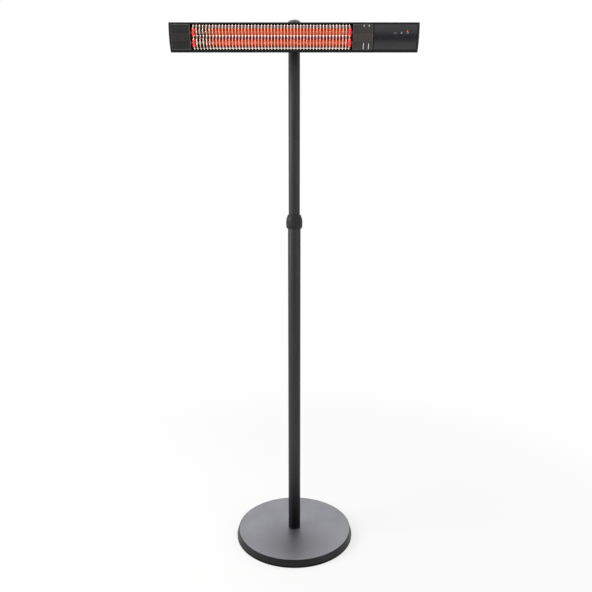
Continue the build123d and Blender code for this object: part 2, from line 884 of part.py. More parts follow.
def end_cap(side):
    """End cap on the +X side (side = 1) or the -X side (side = -1)."""
    with BuildPart() as cap:
        with BuildSketch(cross_plane(side * (half_length - end_cap_thickness))):
            add(make_face(housing_outline(), mode=Mode.PRIVATE))
        extrude(amount=side * end_cap_thickness)
        fillet(cap.faces().sort_by(Axis.X)[-1 if side > 0 else 0].edges(), end_cap_edge_radius)
        with BuildSketch(cross_plane(side * (half_length - end_cap_thickness))):
            add(inner_section())
            offset(amount=-end_cap_spigot_wall, kind=Kind.INTERSECTION, mode=Mode.SUBTRACT)
            with Locations(*port_centres):
                Circle(screw_port_radius + fit_gap + 0.6, mode=Mode.SUBTRACT)
            with Locations((-face_bow, opening_middle)):
                Rectangle(2 * face_bow + 6, opening_top - opening_bottom + 6, mode=Mode.SUBTRACT)
        extrude(amount=-side * end_cap_spigot)
        with BuildSketch(cross_plane(side * half_length)):
            with Locations(*port_centres):
                Circle(cap_screw_radius + fit_gap)
        extrude(amount=-side * end_cap_thickness, mode=Mode.SUBTRACT)
        with BuildSketch(cross_plane(side * half_length)):
            with Locations(*port_centres):
                Circle(cap_screw_head_radius + fit_gap)
        extrude(amount=-side * cap_screw_head_height, mode=Mode.SUBTRACT)
    return cap


right_end_cap = end_cap(1)
save(right_end_cap, "right_end_cap")
left_end_cap = end_cap(-1)
save(left_end_cap, "left_end_cap")

with BuildPart() as end_gaskets:
    for side in (1, -1):
        with BuildSketch(cross_plane(side * housing_end)):
            add(make_face(housing_outline(), mode=Mode.PRIVATE))
            add(inner_section(), mode=Mode.SUBTRACT)
            with Locations(*port_centres):
                Circle(screw_port_radius)
            with Locations(*port_centres):
                Circle(cap_screw_radius, mode=Mode.SUBTRACT)
        extrude(amount=side * gasket_thickness)

save(end_gaskets, "end_gaskets")

with BuildPart() as end_cap_screws:
    for side in (1, -1):
        with BuildSketch(cross_plane(side * half_length)):
            with Locations(*port_centres):
                Circle(cap_screw_head_radius)
        extrude(amount=-side * cap_screw_head_height)
        with BuildSketch(cross_plane(side * (half_length - cap_screw_head_height))):
            with Locations(*port_centres):
                Circle(cap_screw_radius)
        extrude(amount=-side * (end_cap_thickness + cap_screw_reach))
        with BuildSketch(cross_plane(side * half_length)):
            with Locations(*port_centres):
                RegularPolygon(cap_screw_radius * 0.8, 6)
        extrude(amount=-side * 1.2, mode=Mode.SUBTRACT)

save(end_cap_screws, "end_cap_screws")

# ---- reflectors ----


def trough_line(middle, inset):
    """Arc of a reflector trough about a height on the face."""
    reach = trough_height / 2 - inset
    return ThreePointArc(
        (trough_front, middle + reach),
        (trough_front + trough_depth - inset, middle),
        (trough_front, middle - reach),
    )


rib_flange = (trough_gap - fit_gap) / 2


def reflector(middle, outward):
    """Polished trough, a wide flange along its outer edge (outward = 1 up, -1 down), a narrow one inside."""
    with BuildPart() as trough:
        with BuildSketch(cross_plane(grille_left)):
            with BuildLine():
                trough_line(middle, 0)
                inner = trough_line(middle, sheet_thickness)
                Line((trough_front, middle + trough_height / 2), inner @ 0)
                Line((trough_front, middle - trough_height / 2), inner @ 1)
            make_face()
            for side, width in ((outward, trough_flange), (-outward, rib_flange)):
                edge = middle + side * (trough_height / 2 - sheet_thickness)
                with Locations((trough_front, edge)):
                    Rectangle(
                        sheet_thickness,
                        width + sheet_thickness,
                        align=(Align.MAX, Align.MIN if side > 0 else Align.MAX),
                    )
        extrude(amount=grille_right - grille_left)
    return trough


upper_reflector = reflector(trough_centres[0], 1)
save(upper_reflector, "upper_reflector")
lower_reflector = reflector(trough_centres[1], -1)
save(lower_reflector, "lower_reflector")


# plan view of the head, looking up the face: local X is the heater's X, local Y runs back
plan_plane = Plane(origin=(0, face_mid_y, face_mid_z), x_dir=(1, 0, 0), z_dir=(0, -tilt_sin, tilt_cos))


def reflector_end(start, run):
    """Slanted polished ends of both troughs: front edge at start, back edge further in by run."""
    with BuildPart() as ends:
        for middle in trough_centres:
            with BuildSketch(cross_plane(start)):
                with BuildLine():
                    inner = trough_line(middle, sheet_thickness + fit_gap)
                    Line(inner @ 0, inner @ 1)
                make_face()
            extrude(amount=run)
        back = trough_front + trough_depth
        step = sheet_thickness if run > 0 else -sheet_thickness
        with BuildSketch(plan_plane):
            with BuildLine():
                Polyline(
                    (start, trough_front),
                    (start + step, trough_front),
                    (start + run, back),
                    (start + run - step, back),
                    close=True,
                )
            make_face()
        extrude(amount=head_height, both=True, mode=Mode.INTERSECT)
        with BuildSketch(cross_plane(start)):
            with Locations(*[(lamp_depth, middle) for middle in trough_centres]):
                Circle(lamp_radius + 1)
        extrude(amount=run, mode=Mode.SUBTRACT)
    return ends


left_reflector_end = reflector_end(grille_left, reflector_end_run)
save(left_reflector_end, "left_reflector_end")
right_reflector_end = reflector_end(grille_right, -reflector_end_run)
save(right_reflector_end, "right_reflector_end")

# ---- lamps ----

lamp_places = [(lamp_depth, middle) for middle in trough_centres]


def lamp_tube(place):
    """Quartz tube with closed ends."""
    with BuildPart() as tube:
        with BuildSketch(cross_plane(lamp_left)):
            with Locations(place):
                Circle(lamp_radius)
        extrude(amount=lamp_right - lamp_left)
        with BuildSketch(cross_plane(lamp_left + lamp_wall)):
            with Locations(place):
                Circle(lamp_radius - lamp_wall)
        extrude(amount=lamp_right - lamp_left - 2 * lamp_wall, mode=Mode.SUBTRACT)
    return tube


def lamp_filament(place):
    """Flat carbon ribbon along a lamp's middle, held by a thin rod at each end."""
    ribbon_start = lamp_left + lamp_cap_length
    ribbon_end = lamp_right - lamp_cap_length
    with BuildPart() as filament:
        with BuildSketch(cross_plane(ribbon_start)):
            with Locations(place):
                Rectangle(filament_thickness, filament_width)
        extrude(amount=ribbon_end - ribbon_start)
        with BuildSketch(cross_plane(lamp_left + lamp_wall)):
            with Locations(place):
                Circle(filament_thickness)
        extrude(amount=lamp_right - lamp_left - 2 * lamp_wall)
    return filament


upper_lamp_tube = lamp_tube(lamp_places[0])
save(upper_lamp_tube, "upper_lamp_tube")
lower_lamp_tube = lamp_tube(lamp_places[1])
save(lower_lamp_tube, "lower_lamp_tube")
upper_filament = lamp_filament(lamp_places[0])
save(upper_filament, "upper_filament")
lower_filament = lamp_filament(lamp_places[1])
save(lower_filament, "lower_filament")

left_caps_start = lamp_left + lamp_cap_grip - lamp_cap_length
right_caps_start = lamp_right - lamp_cap_grip
lamp_cap_starts = (left_caps_start, right_caps_start)

with BuildPart() as lamp_caps:
    for start in lamp_cap_starts:
        with BuildSketch(cross_plane(start)):
            with Locations(*lamp_places):
                RectangleRounded(lamp_cap_size, lamp_cap_size, 2)
        extrude(amount=lamp_cap_length)
    with BuildSketch(cross_plane(lamp_left)):
        with Locations(*lamp_places):
            Circle(lamp_radius)
    extrude(amount=lamp_right - lamp_left, mode=Mode.SUBTRACT)

save(lamp_caps, "lamp_caps")

lead_depth = housing_floor - lead_standoff
holder_top = trough_centres[0] + lamp_cap_size / 2 + holder_margin
holder_bottom = trough_centres[1] - lamp_cap_size / 2 - holder_margin


def lamp_holder(x):
    """Sheet bracket that carries both ceramic caps and stands on the housing's back."""
    with BuildPart() as holder:
        with BuildSketch(cross_plane(x)):
            with Locations((lamp_depth, (holder_top + holder_bottom) / 2)):
                RectangleRounded(lamp_cap_size + 2 * holder_margin, holder_top - holder_bottom, 2)
            with Locations((housing_floor, 0)):
                Rectangle(
                    housing_floor - lamp_depth,
                    bracket_height,
                    align=(Align.MAX, Align.CENTER),
                )
            with Locations(*lamp_places):
                RectangleRounded(lamp_cap_size, lamp_cap_size, 2, mode=Mode.SUBTRACT)
            with Locations((lead_depth, 0)):
                Rectangle(3 * lead_radius, 2 * lead_lane + 4 * lead_radius, mode=Mode.SUBTRACT)
        extrude(amount=holder_thickness)
        with BuildSketch(face_plane(housing_floor)):
            with Locations((x + holder_thickness + holder_foot / 2, 0)):
                Rectangle(holder_foot, bracket_height)
        extrude(amount=holder_thickness)
    return holder


left_lamp_holder = lamp_holder(left_caps_start + lamp_cap_length / 4)
save(left_lamp_holder, "left_lamp_holder")
right_lamp_holder = lamp_holder(right_caps_start + lamp_cap_length / 2)
save(right_lamp_holder, "right_lamp_holder")

shield_depth = trough_front + trough_depth + shield_gap
shield_top = opening_top - holder_margin
shield_foot = opening_bottom + holder_margin

with BuildPart() as heat_shield:
    with BuildSketch(cross_plane(grille_left)):
        with Locations((shield_depth, opening_middle)):
            Rectangle(shield_thickness, shield_top - shield_foot)
        for edge, inward in ((shield_top, Align.MAX), (shield_foot, Align.MIN)):
            with Locations((shield_depth, edge)):
                Rectangle(shield_lip, shield_thickness, align=(Align.MAX, inward))
    extrude(amount=grille_right - grille_left)

save(heat_shield, "heat_shield")

# ---- grille ----

grille_span = grille_right - grille_left - 2 * grille_end_gap
wire_count = floor(grille_span / grille_pitch) + 1
wire_start = (grille_left + grille_right - (wire_count - 1) * grille_pitch) / 2
wire_top = opening_top - wire_margin
wire_bottom = opening_bottom + wire_margin
rod_step = wire_radius + rod_radius - weld_depth
upper_hump = wire_top - wire_shoulder_drop - wire_valley_height - wire_valley_spread
lower_hump = wire_valley_height - wire_valley_spread - wire_bottom - wire_shoulder_drop

# one wire's corners as (depth, height): a hook, two humps with a valley between them, a hook
wire_corners = (
    (wire_end_depth + wire_hook, wire_top),
    (wire_end_depth, wire_top),
    (wire_hump_depth, wire_top - wire_shoulder_drop),
    (wire_hump_depth, wire_valley_height + wire_valley_spread),
    (wire_valley_depth, wire_valley_height),
    (wire_hump_depth, wire_valley_height - wire_valley_spread),
    (wire_hump_depth, wire_bottom + wire_shoulder_drop),
    (wire_end_depth, wire_bottom),
    (wire_end_depth + wire_hook, wire_bottom),
)
# a bend takes no more than its share of the straight wire between it and the next one
upper_bend = min(wire_hump_bend, wire_bend_share * upper_hump)
lower_bend = min(wire_hump_bend, wire_bend_share * lower_hump)
wire_bends = (
    wire_hook_bend,
    upper_bend,
    upper_bend,
    wire_valley_bend,
    lower_bend,
    lower_bend,
    wire_hook_bend,
)
cross_rods = (
    (end_rod_depth, wire_top - rod_step),
    (valley_rod_depth, wire_valley_height),
    (end_rod_depth, wire_bottom + rod_step),
)

with BuildPart() as front_grille:
    with BuildLine(cross_plane(wire_start)) as wire_path:
        FilletPolyline(*wire_corners, radius=wire_bends)
    with BuildSketch(Plane(wire_path.line @ 0, z_dir=wire_path.line % 0)):
        Circle(wire_radius)
    sweep()
    first_wire = front_grille.part
    add([first_wire.moved(Location((grille_pitch * step, 0, 0))) for step in range(1, wire_count)])
    with BuildSketch(cross_plane(wire_start - wire_radius)):
        with Locations(*cross_rods):
            Circle(rod_radius)
    extrude(amount=(wire_count - 1) * grille_pitch + 2 * wire_radius)

save(front_grille, "front_grille")

# ---- terminal covers ----

cover_top = opening_top - cover_gap
cover_foot = opening_bottom + cover_gap


def terminal_cover(left, right):
    """Bowed cover plate with a thin raised frame and a raised middle band."""
    back_inset = cover_recess + cover_frame_width / 2 + cover_thickness
    with BuildPart() as cover:
        with BuildSketch(cross_plane(left)):
            add(make_face(bowed_strip(cover_top, cover_foot, cover_recess, back_inset), mode=Mode.PRIVATE))
        extrude(amount=right - left)
        floor_inset = cover_recess + cover_frame_width / 2
        inner_top = cover_top - cover_frame_width
        inner_foot = cover_foot + cover_frame_width
        with BuildSketch(cross_plane(left + cover_frame_width)):
            add(make_face(bowed_strip(inner_top, inner_foot, -1, floor_inset), mode=Mode.PRIVATE))
        extrude(amount=right - left - 2 * cover_frame_width, mode=Mode.SUBTRACT)
        band_inset = floor_inset - cover_band_rise
        band_foot_inset = floor_inset + cover_thickness / 2
        with BuildSketch(cross_plane(left + cover_frame_width)):
            add(
                make_face(
                    bowed_strip(cover_band_top, cover_band_bottom, band_inset, band_foot_inset),
                    mode=Mode.PRIVATE,
                )
            )
        extrude(amount=right - left - 2 * cover_frame_width)
    return cover


left_terminal_cover = terminal_cover(left_cover_left, left_cover_right)
save(left_terminal_cover, "left_terminal_cover")
right_terminal_cover = terminal_cover(right_cover_left, right_cover_right)
save(right_terminal_cover, "right_terminal_cover")

clip_inset = cover_recess + cover_frame_width / 2

clip_top_end = cover_top - clip_margin
clip_bottom_end = cover_foot + clip_margin

with BuildPart() as cover_clips:
    for clip_top, clip_foot in (
        (clip_top_end, clip_top_end - clip_upper_length),
        (clip_bottom_end + clip_lower_length, clip_bottom_end),
    ):
        for place in [right_cover_left + offset for offset in clip_offsets]:
            with BuildSketch(cross_plane(place - clip_width / 2)):
                add(
                    make_face(
                        bowed_strip(clip_top, clip_foot, clip_inset - clip_rise, clip_inset),
                        mode=Mode.PRIVATE,
                    )
                )
            extrude(amount=clip_width)
    fillet(cover_clips.edges().filter_by(GeomType.CIRCLE).group_by(SortBy.RADIUS)[-1], clip_rise / 3)

save(cover_clips, "cover_clips")

# ---- control panel and its board ----

board_middle = (panel_left + panel_right) / 2
board_length = panel_right - panel_left - 2 * board_margin
boss_x = board_length / 2 - board_boss_inset
boss_y = board_height / 2 - board_boss_inset
boss_points = [(board_middle + x, y) for x in (-boss_x, boss_x) for y in (-boss_y, boss_y)]
key_places = [panel_left + offset for offset in key_offsets]
status_light_place = (panel_left + status_light_offset, status_light_height)

with BuildPart() as control_panel:
    with BuildSketch(cross_plane(panel_left)):
        add(make_face(bowed_strip(cover_top, cover_foot, 0, panel_thickness), mode=Mode.PRIVATE))
    extrude(amount=panel_right - panel_left)
    with BuildSketch(face_plane(board_depth)):
        with Locations(*boss_points):
            Circle(board_boss_radius)
    extrude(amount=board_depth + face_bow)
    with BuildSketch(cross_plane(panel_left)):
        add(make_face(bowed_strip(cover_top, cover_foot, -face_bow, 0), mode=Mode.PRIVATE))
    extrude(amount=panel_right - panel_left, mode=Mode.SUBTRACT)
    with BuildSketch(face_plane(board_depth)):
        with Locations(*boss_points):
            Circle(board_screw_radius)
    extrude(amount=board_boss_bore, mode=Mode.SUBTRACT)
    with BuildSketch(face_plane(bow(key_height, key_lens_thickness))):
        with Locations(*[(place, key_height) for place in key_places]):
            Circle(key_radius)
    extrude(amount=face_bow, mode=Mode.SUBTRACT)
    with BuildSketch(face_plane(0)):
        with Locations(status_light_place):
            Circle(status_light_radius)
    extrude(amount=face_bow * 2, mode=Mode.SUBTRACT)

save(control_panel, "control_panel")

with BuildPart() as key_lenses:
    for place in key_places:
        with BuildSketch(cross_plane(place - key_radius)):
            add(
                make_face(
                    bowed_strip(key_height + key_radius, key_height - key_radius, 0, panel_thickness),
                    mode=Mode.PRIVATE,
                )
            )
        extrude(amount=2 * key_radius)
    with BuildSketch(face_plane(bow(key_height, key_lens_thickness))):
        with Locations(*[(place, key_height) for place in key_places]):
            Circle(key_radius - fit_gap / 2)
    extrude(amount=face_bow, mode=Mode.INTERSECT)

save(key_lenses, "key_lenses")

light_depth = bow(status_light_height)

with BuildPart() as status_light:
    with BuildSketch(face_plane(board_depth)):
        with Locations(status_light_place):
            Circle(status_light_radius - fit_gap / 2)
    extrude(amount=board_depth - light_depth)

save(status_light, "status_light")

with BuildPart() as control_board:
    with BuildSketch(face_plane(board_depth + board_thickness)):
        with Locations((board_middle, 0)):
            RectangleRounded(board_length, board_height, 2)
        with Locations(*boss_points):
            Circle(board_screw_radius, mode=Mode.SUBTRACT)
    extrude(amount=board_thickness)
    relay_long, relay_wide, relay_tall = relay_size
    relay_shift = relay_long / 2 + relay_gap
    with BuildSketch(face_plane(board_depth + board_thickness + relay_tall)):
        with Locations((board_middle - relay_shift, relay_wide), (board_middle + relay_shift, relay_wide)):
            RectangleRounded(relay_long, relay_wide, 1)
    extrude(amount=relay_tall)
    with BuildSketch(face_plane(board_depth + board_thickness + capacitor_height)):
        with GridLocations(relay_shift, 0, 3, 1):
            with Locations((board_middle, -relay_wide)):
                Circle(relay_wide / 3)
    extrude(amount=capacitor_height)

save(control_board, "control_board")

with BuildPart() as board_screws:
    with BuildSketch(face_plane(board_depth + board_thickness + board_screw_head_height)):
        with Locations(*boss_points):
            Circle(board_screw_head_radius)
    extrude(amount=board_screw_head_height)
    with BuildSketch(face_plane(board_depth + board_thickness)):
        with Locations(*boss_points):
            Circle(board_screw_radius)
    extrude(amount=board_thickness + board_boss_bore - screw_hole_spare)
    with BuildSketch(face_plane(board_depth + board_thickness + board_screw_head_height)):
        with Locations(*boss_points):
            Rectangle(board_screw_head_radius, board_screw_slot)
            Rectangle(board_screw_slot, board_screw_head_radius)
    extrude(amount=board_screw_head_height / 2, mode=Mode.SUBTRACT)

save(board_screws, "board_screws")

# ---- terminal block, tip-over switch and leads ----

block_left = panel_left + block_offset
tilt_switch_left = panel_left + tilt_switch_offset

with BuildPart() as terminal_block:
    with BuildSketch(face_plane(housing_floor)):
        with Locations((block_left + block_length / 2, 0)):
            RectangleRounded(block_length, block_height, 1.5)
    extrude(amount=block_thickness)
    way_pitch = block_length / block_way_count
    with BuildSketch(face_plane(housing_floor - block_thickness)):
        with Locations((block_left + block_length / 2, 0)):
            with GridLocations(way_pitch, block_height / 2, block_way_count, 2):
                Circle(way_pitch * 0.3)
    extrude(amount=-block_thickness / 2, mode=Mode.SUBTRACT)

save(terminal_block, "terminal_block")

with BuildPart() as tip_over_switch:
    with BuildSketch(face_plane(housing_floor)):
        with Locations((tilt_switch_left + tilt_switch_radius, 0)):
            Circle(tilt_switch_radius)
    extrude(amount=tilt_switch_length)
    fillet(tip_over_switch.faces().sort_by(Axis.Y)[0].edges(), 1.5)

save(tip_over_switch, "tip_over_switch")

left_lead_start = left_caps_start
right_lead_start = right_caps_start + lamp_cap_length


def lead(points):
    """Insulated lead through points given as (x, depth, height) in the head."""
    head_frame = cross_plane(0)
    corners = [head_frame.from_local_coords((depth, height, x)) for x, depth, height in points]
    with BuildPart() as wire:
        with BuildLine() as path:
            FilletPolyline(*corners, radius=lead_bend_radius)
        with BuildSketch(Plane(path.line @ 0, z_dir=path.line % 0)):
            Circle(lead_radius)
        sweep()
    return wire.part


with BuildPart() as lamp_leads:
    for middle, lane in zip(trough_centres, (lead_lane, -lead_lane)):
        outer_x = left_lead_start - lead_turn
        add(
            lead(
                [
                    (left_lead_start, lamp_depth, middle),
                    (outer_x, lamp_depth, middle),
                    (outer_x, lead_depth, lane),
                    (block_left, lead_depth, lane),
                ]
            )
        )
        outer_x = right_lead_start + lead_turn
        add(
            lead(
                [
                    (right_lead_start, lamp_depth, middle),
                    (outer_x, lamp_depth, middle),
                    (outer_x, lead_depth, 3 * lane),
                    (block_left, lead_depth, 3 * lane),
                ]
            )
        )

save(lamp_leads, "lamp_leads")

# ---- cable gland ----


gland_back = head_depth + gland_flange_height
gland_end = gland_back + gland_nut_height
gland_inside = housing_floor - gland_lock_nut_height

with BuildPart() as gland_body:
    with BuildSketch(face_plane(gland_back)):
        with Locations((gland_x, 0)):
            RegularPolygon(gland_flange_radius, 6, major_radius=False)
    extrude(amount=gland_flange_height)
    with BuildSketch(face_plane(gland_inside)):
        with Locations((gland_x, 0)):
            Circle(gland_thread_radius)
    extrude(amount=-(head_depth - gland_inside))
    with BuildSketch(face_plane(gland_back + gland_nut_height / 2)):
        with Locations((gland_x, 0)):
            Circle(gland_thread_radius)
    extrude(amount=gland_nut_height / 2)
    with BuildSketch(face_plane(gland_back + gland_nut_height / 2)):
        with Locations((gland_x, 0)):
            Circle(gland_seal_radius)
    extrude(amount=gland_end - gland_inside, mode=Mode.SUBTRACT)

save(gland_body, "gland_body")

with BuildPart() as gland_nut:
    with BuildSketch(face_plane(gland_end)):
        with Locations((gland_x, 0)):
            RegularPolygon(gland_nut_radius, 6, major_radius=False)
    extrude(amount=gland_nut_height)
    fillet(gland_nut.faces().sort_by(Axis.Y)[-1].edges(), 2.5)
    with BuildSketch(face_plane(gland_end)):
        with Locations((gland_x, 0)):
            Circle(gland_bore_radius + 1)
    extrude(amount=gland_nut_height, mode=Mode.SUBTRACT)
    with BuildSketch(face_plane(gland_back)):
        with Locations((gland_x, 0)):
            Circle(gland_thread_radius)
    extrude(amount=-(gland_nut_height - 2), mode=Mode.SUBTRACT)

save(gland_nut, "gland_nut")

with BuildPart() as gland_seal:
    with BuildSketch(face_plane(gland_end - 2)):
        with Locations((gland_x, 0)):
            Circle(gland_seal_radius)
            Circle(gland_bore_radius, mode=Mode.SUBTRACT)
    extrude(amount=gland_nut_height)

save(gland_seal, "gland_seal")

with BuildPart() as gland_lock_nut:
    with BuildSketch(face_plane(housing_floor)):
        with Locations((gland_x, 0)):
            RegularPolygon(gland_flange_radius, 6, major_radius=False)
            Circle(gland_thread_radius, mode=Mode.SUBTRACT)
    extrude(amount=gland_lock_nut_height)

save(gland_lock_nut, "gland_lock_nut")
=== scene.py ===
import bpy
import bmesh
import json
from math import atan2, cos, hypot, pi, radians, sin, sqrt, tan
from mathutils import Matrix, Vector


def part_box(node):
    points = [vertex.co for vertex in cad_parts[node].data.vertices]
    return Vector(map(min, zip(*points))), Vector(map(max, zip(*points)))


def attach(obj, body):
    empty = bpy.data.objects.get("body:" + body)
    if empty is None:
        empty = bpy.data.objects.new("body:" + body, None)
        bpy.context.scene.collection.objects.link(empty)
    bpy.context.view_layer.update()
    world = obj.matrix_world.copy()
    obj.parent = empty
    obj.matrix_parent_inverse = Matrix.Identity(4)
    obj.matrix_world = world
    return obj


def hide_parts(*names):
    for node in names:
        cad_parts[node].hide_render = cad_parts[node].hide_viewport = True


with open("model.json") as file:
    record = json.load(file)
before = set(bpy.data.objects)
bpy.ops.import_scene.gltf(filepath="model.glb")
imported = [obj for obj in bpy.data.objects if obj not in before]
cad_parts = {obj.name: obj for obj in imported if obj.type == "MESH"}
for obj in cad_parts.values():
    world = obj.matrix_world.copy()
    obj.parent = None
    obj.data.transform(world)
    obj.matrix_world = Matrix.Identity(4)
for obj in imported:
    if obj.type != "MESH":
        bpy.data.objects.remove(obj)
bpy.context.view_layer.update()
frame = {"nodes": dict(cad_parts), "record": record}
print("patio heater: frame loaded,", len(frame["nodes"]), "nodes")


# shape tools, all in metres

touching = 1e-7      # points nearer than this are one
straight = 0.01      # a corner that bends by less than this angle isn't rounded
bendShare = 0.49     # most of a side that one rounded corner takes up


def box(node):
    low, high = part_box(node)
    return Vector(low), Vector(high)


def softened(corners, steps=5, closed=True):
    # outline with rounded corners, each corner given as (a, b) or (a, b, radius)
    outline = []
    count = len(corners)
    for index, corner in enumerate(corners):
        here = Vector(corner[:2])
        radius = corner[2] if len(corner) > 2 else 0.0
        before = Vector(corners[index - 1][:2]) - here
        after = Vector(corners[(index + 1) % count][:2]) - here
        loose = not closed and index in (0, count - 1)
        if radius <= 0.0 or loose or before.angle(after) > pi - straight:
            outline.append(tuple(here))
            continue
        turn = before.angle(after)
        reach = min(radius / tan(turn / 2), bendShare * before.length, bendShare * after.length)
        bend = reach * tan(turn / 2)
        centre = here + (before.normalized() + after.normalized()).normalized() * hypot(reach, bend)
        start = here + before.normalized() * reach - centre
        sweep = start.angle_signed(here + after.normalized() * reach - centre)
        for step in range(steps + 1):
            outline.append(tuple(centre + Matrix.Rotation(-sweep * step / steps, 2) @ start))
    return outline


def arcThrough(first, middle, last, steps):
    # points of the arc through three points of a plane
    ax, ay = first
    bx, by = middle
    cx, cy = last
    twice = 2 * (ax * (by - cy) + bx * (cy - ay) + cx * (ay - by))
    aa, bb, cc = ax * ax + ay * ay, bx * bx + by * by, cx * cx + cy * cy
    ux = (aa * (by - cy) + bb * (cy - ay) + cc * (ay - by)) / twice
    uy = (aa * (cx - bx) + bb * (ax - cx) + cc * (bx - ax)) / twice
    radius = hypot(ax - ux, ay - uy)
    start = atan2(ay - uy, ax - ux)
    span = (atan2(cy - uy, cx - ux) - start) % (2 * pi)
    if (atan2(by - uy, bx - ux) - start) % (2 * pi) > span:
        span -= 2 * pi
    angles = [start + span * step / steps for step in range(steps + 1)]
    return [(ux + radius * cos(angle), uy + radius * sin(angle)) for angle in angles]


def lathe(outline, sides, carve=None):
    # new mesh from a closed outline of (radius, height) turned about the vertical axis
    mesh = bmesh.new()
    rings = []
    for side in range(sides):
        angle = 2 * pi * side / sides
        ring = []
        for radius, height in outline:
            reach = carve(radius, angle) if carve else radius
            ring.append(mesh.verts.new((reach * cos(angle), reach * sin(angle), height)))
        rings.append(ring)
    for side, ring in enumerate(rings):
        other = rings[(side + 1) % sides]
        for point in range(len(outline)):
            after = (point + 1) % len(outline)
            if outline[point][0] < touching and outline[after][0] < touching:
                continue
            mesh.faces.new((ring[point], other[point], other[after], ring[after]))
    bmesh.ops.remove_doubles(mesh, verts=mesh.verts, dist=touching)
    return mesh


def prism(mesh, outline, place, start, end, rounding=0.0):
    # closed outline carried from start to end, where place(a, b, along) gives the point
    loops = []
    for along in (start, end):
        loops.append([mesh.verts.new(place(a, b, along)) for a, b in outline])
    count = len(outline)
    for point in range(count):
        after = (point + 1) % count
        mesh.faces.new((loops[0][point], loops[0][after], loops[1][after], loops[1][point]))
    ends = [mesh.faces.new(list(reversed(loops[0]))), mesh.faces.new(loops[1])]
    if rounding > 0:
        edges = [edge for face in ends for edge in face.edges]
        bmesh.ops.bevel(mesh, geom=edges, offset=rounding, segments=3, profile=0.5, affect="EDGES")


def bar(mesh, path, radius, sides):
    # round bar along a path of points, closed at both ends
    path = [Vector(point) for point in path]
    count = len(path)
    normal = (path[1] - path[0]).orthogonal().normalized()
    rings = []
    for index, point in enumerate(path):
        heading = (path[min(index + 1, count - 1)] - path[max(index - 1, 0)]).normalized()
        normal = (normal - heading * normal.dot(heading)).normalized()
        other = heading.cross(normal)
        ring = []
        for side in range(sides):
            angle = 2 * pi * side / sides
            ring.append(mesh.verts.new(point + (normal * cos(angle) + other * sin(angle)) * radius))
        rings.append(ring)
    for first, last in zip(rings, rings[1:]):
        for side in range(sides):
            after = (side + 1) % sides
            mesh.faces.new((first[side], first[after], last[after], last[side]))
    mesh.faces.new(list(reversed(rings[0])))
    mesh.faces.new(rings[-1])


def finishMesh(name, mesh, sharpAngle=32, matrix=None):
    # shaded mesh from a working one, smooth but for its sharp edges
    bmesh.ops.recalc_face_normals(mesh, faces=mesh.faces)
    made = bpy.data.meshes.new(name)
    mesh.to_mesh(made)
    mesh.free()
    if matrix is not None:
        made.transform(matrix)
    made.shade_smooth()
    made.set_sharp_from_angle(angle=radians(sharpAngle))
    return made


def addPiece(name, mesh, body, slot, finish, *nodes, sharpAngle=32, matrix=None):
    # new piece of the heater that rides on a body and stands for CAD nodes
    made = finishMesh(name, mesh, sharpAngle, matrix)
    piece = bpy.data.objects.new(name, made)
    bpy.context.scene.collection.objects.link(piece)
    made.materials.append(finish.material)
    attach(piece, body)
    if nodes:
        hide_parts(*nodes)


# head, set out as (x, depth back from its face, height up its face)

head = {
    "tilt": 14.5,
    "reach": (0.072, 0.0127),    # the face's middle, ahead of and below the tilt axis
    "height": 0.097,
    "depth": 0.050,
    "bow": 0.0096,
    "backRadius": 0.032,
    "wall": 0.002,
    "topLip": 0.0055,
    "bottomLip": 0.009,
    "lipEdge": 0.0007,
    "shoulderEdge": 0.0014,
    "bandReach": 0.045,          # of the face's colour bands, above and below its middle
}
axisLow, axisHigh = box("pivot_bolt")
tiltAxis = (axisLow + axisHigh) / 2
faceMiddle = Vector((0.0, tiltAxis.y - head["reach"][0], tiltAxis.z - head["reach"][1]))
headPlace = Matrix.Translation(faceMiddle) @ Matrix.Rotation(radians(head["tilt"]), 4, "X")


def addHeadPiece(name, mesh, slot, finish, *nodes, sharpAngle=32):
    # piece of the head, from a mesh set out like the head
    addPiece(name, mesh, "head", slot, finish, *nodes, sharpAngle=sharpAngle, matrix=headPlace)


# finishes

def tone(red, green, blue):
    # screen colour from 0 to 255 as the linear colour that the shaders take
    linear = []
    for level in (red, green, blue):
        share = level / 255
        linear.append(share / 12.92 if share <= 0.04045 else ((share + 0.055) / 1.055) ** 2.4)
    return (*linear, 1.0)


def combined(tree, operation, first, second):
    # result of a sum on two sockets
    result = tree.nodes.new("ShaderNodeMath")
    result.operation = operation
    tree.links.new(first, result.inputs[0])
    tree.links.new(second, result.inputs[1])
    return result.outputs["Value"]


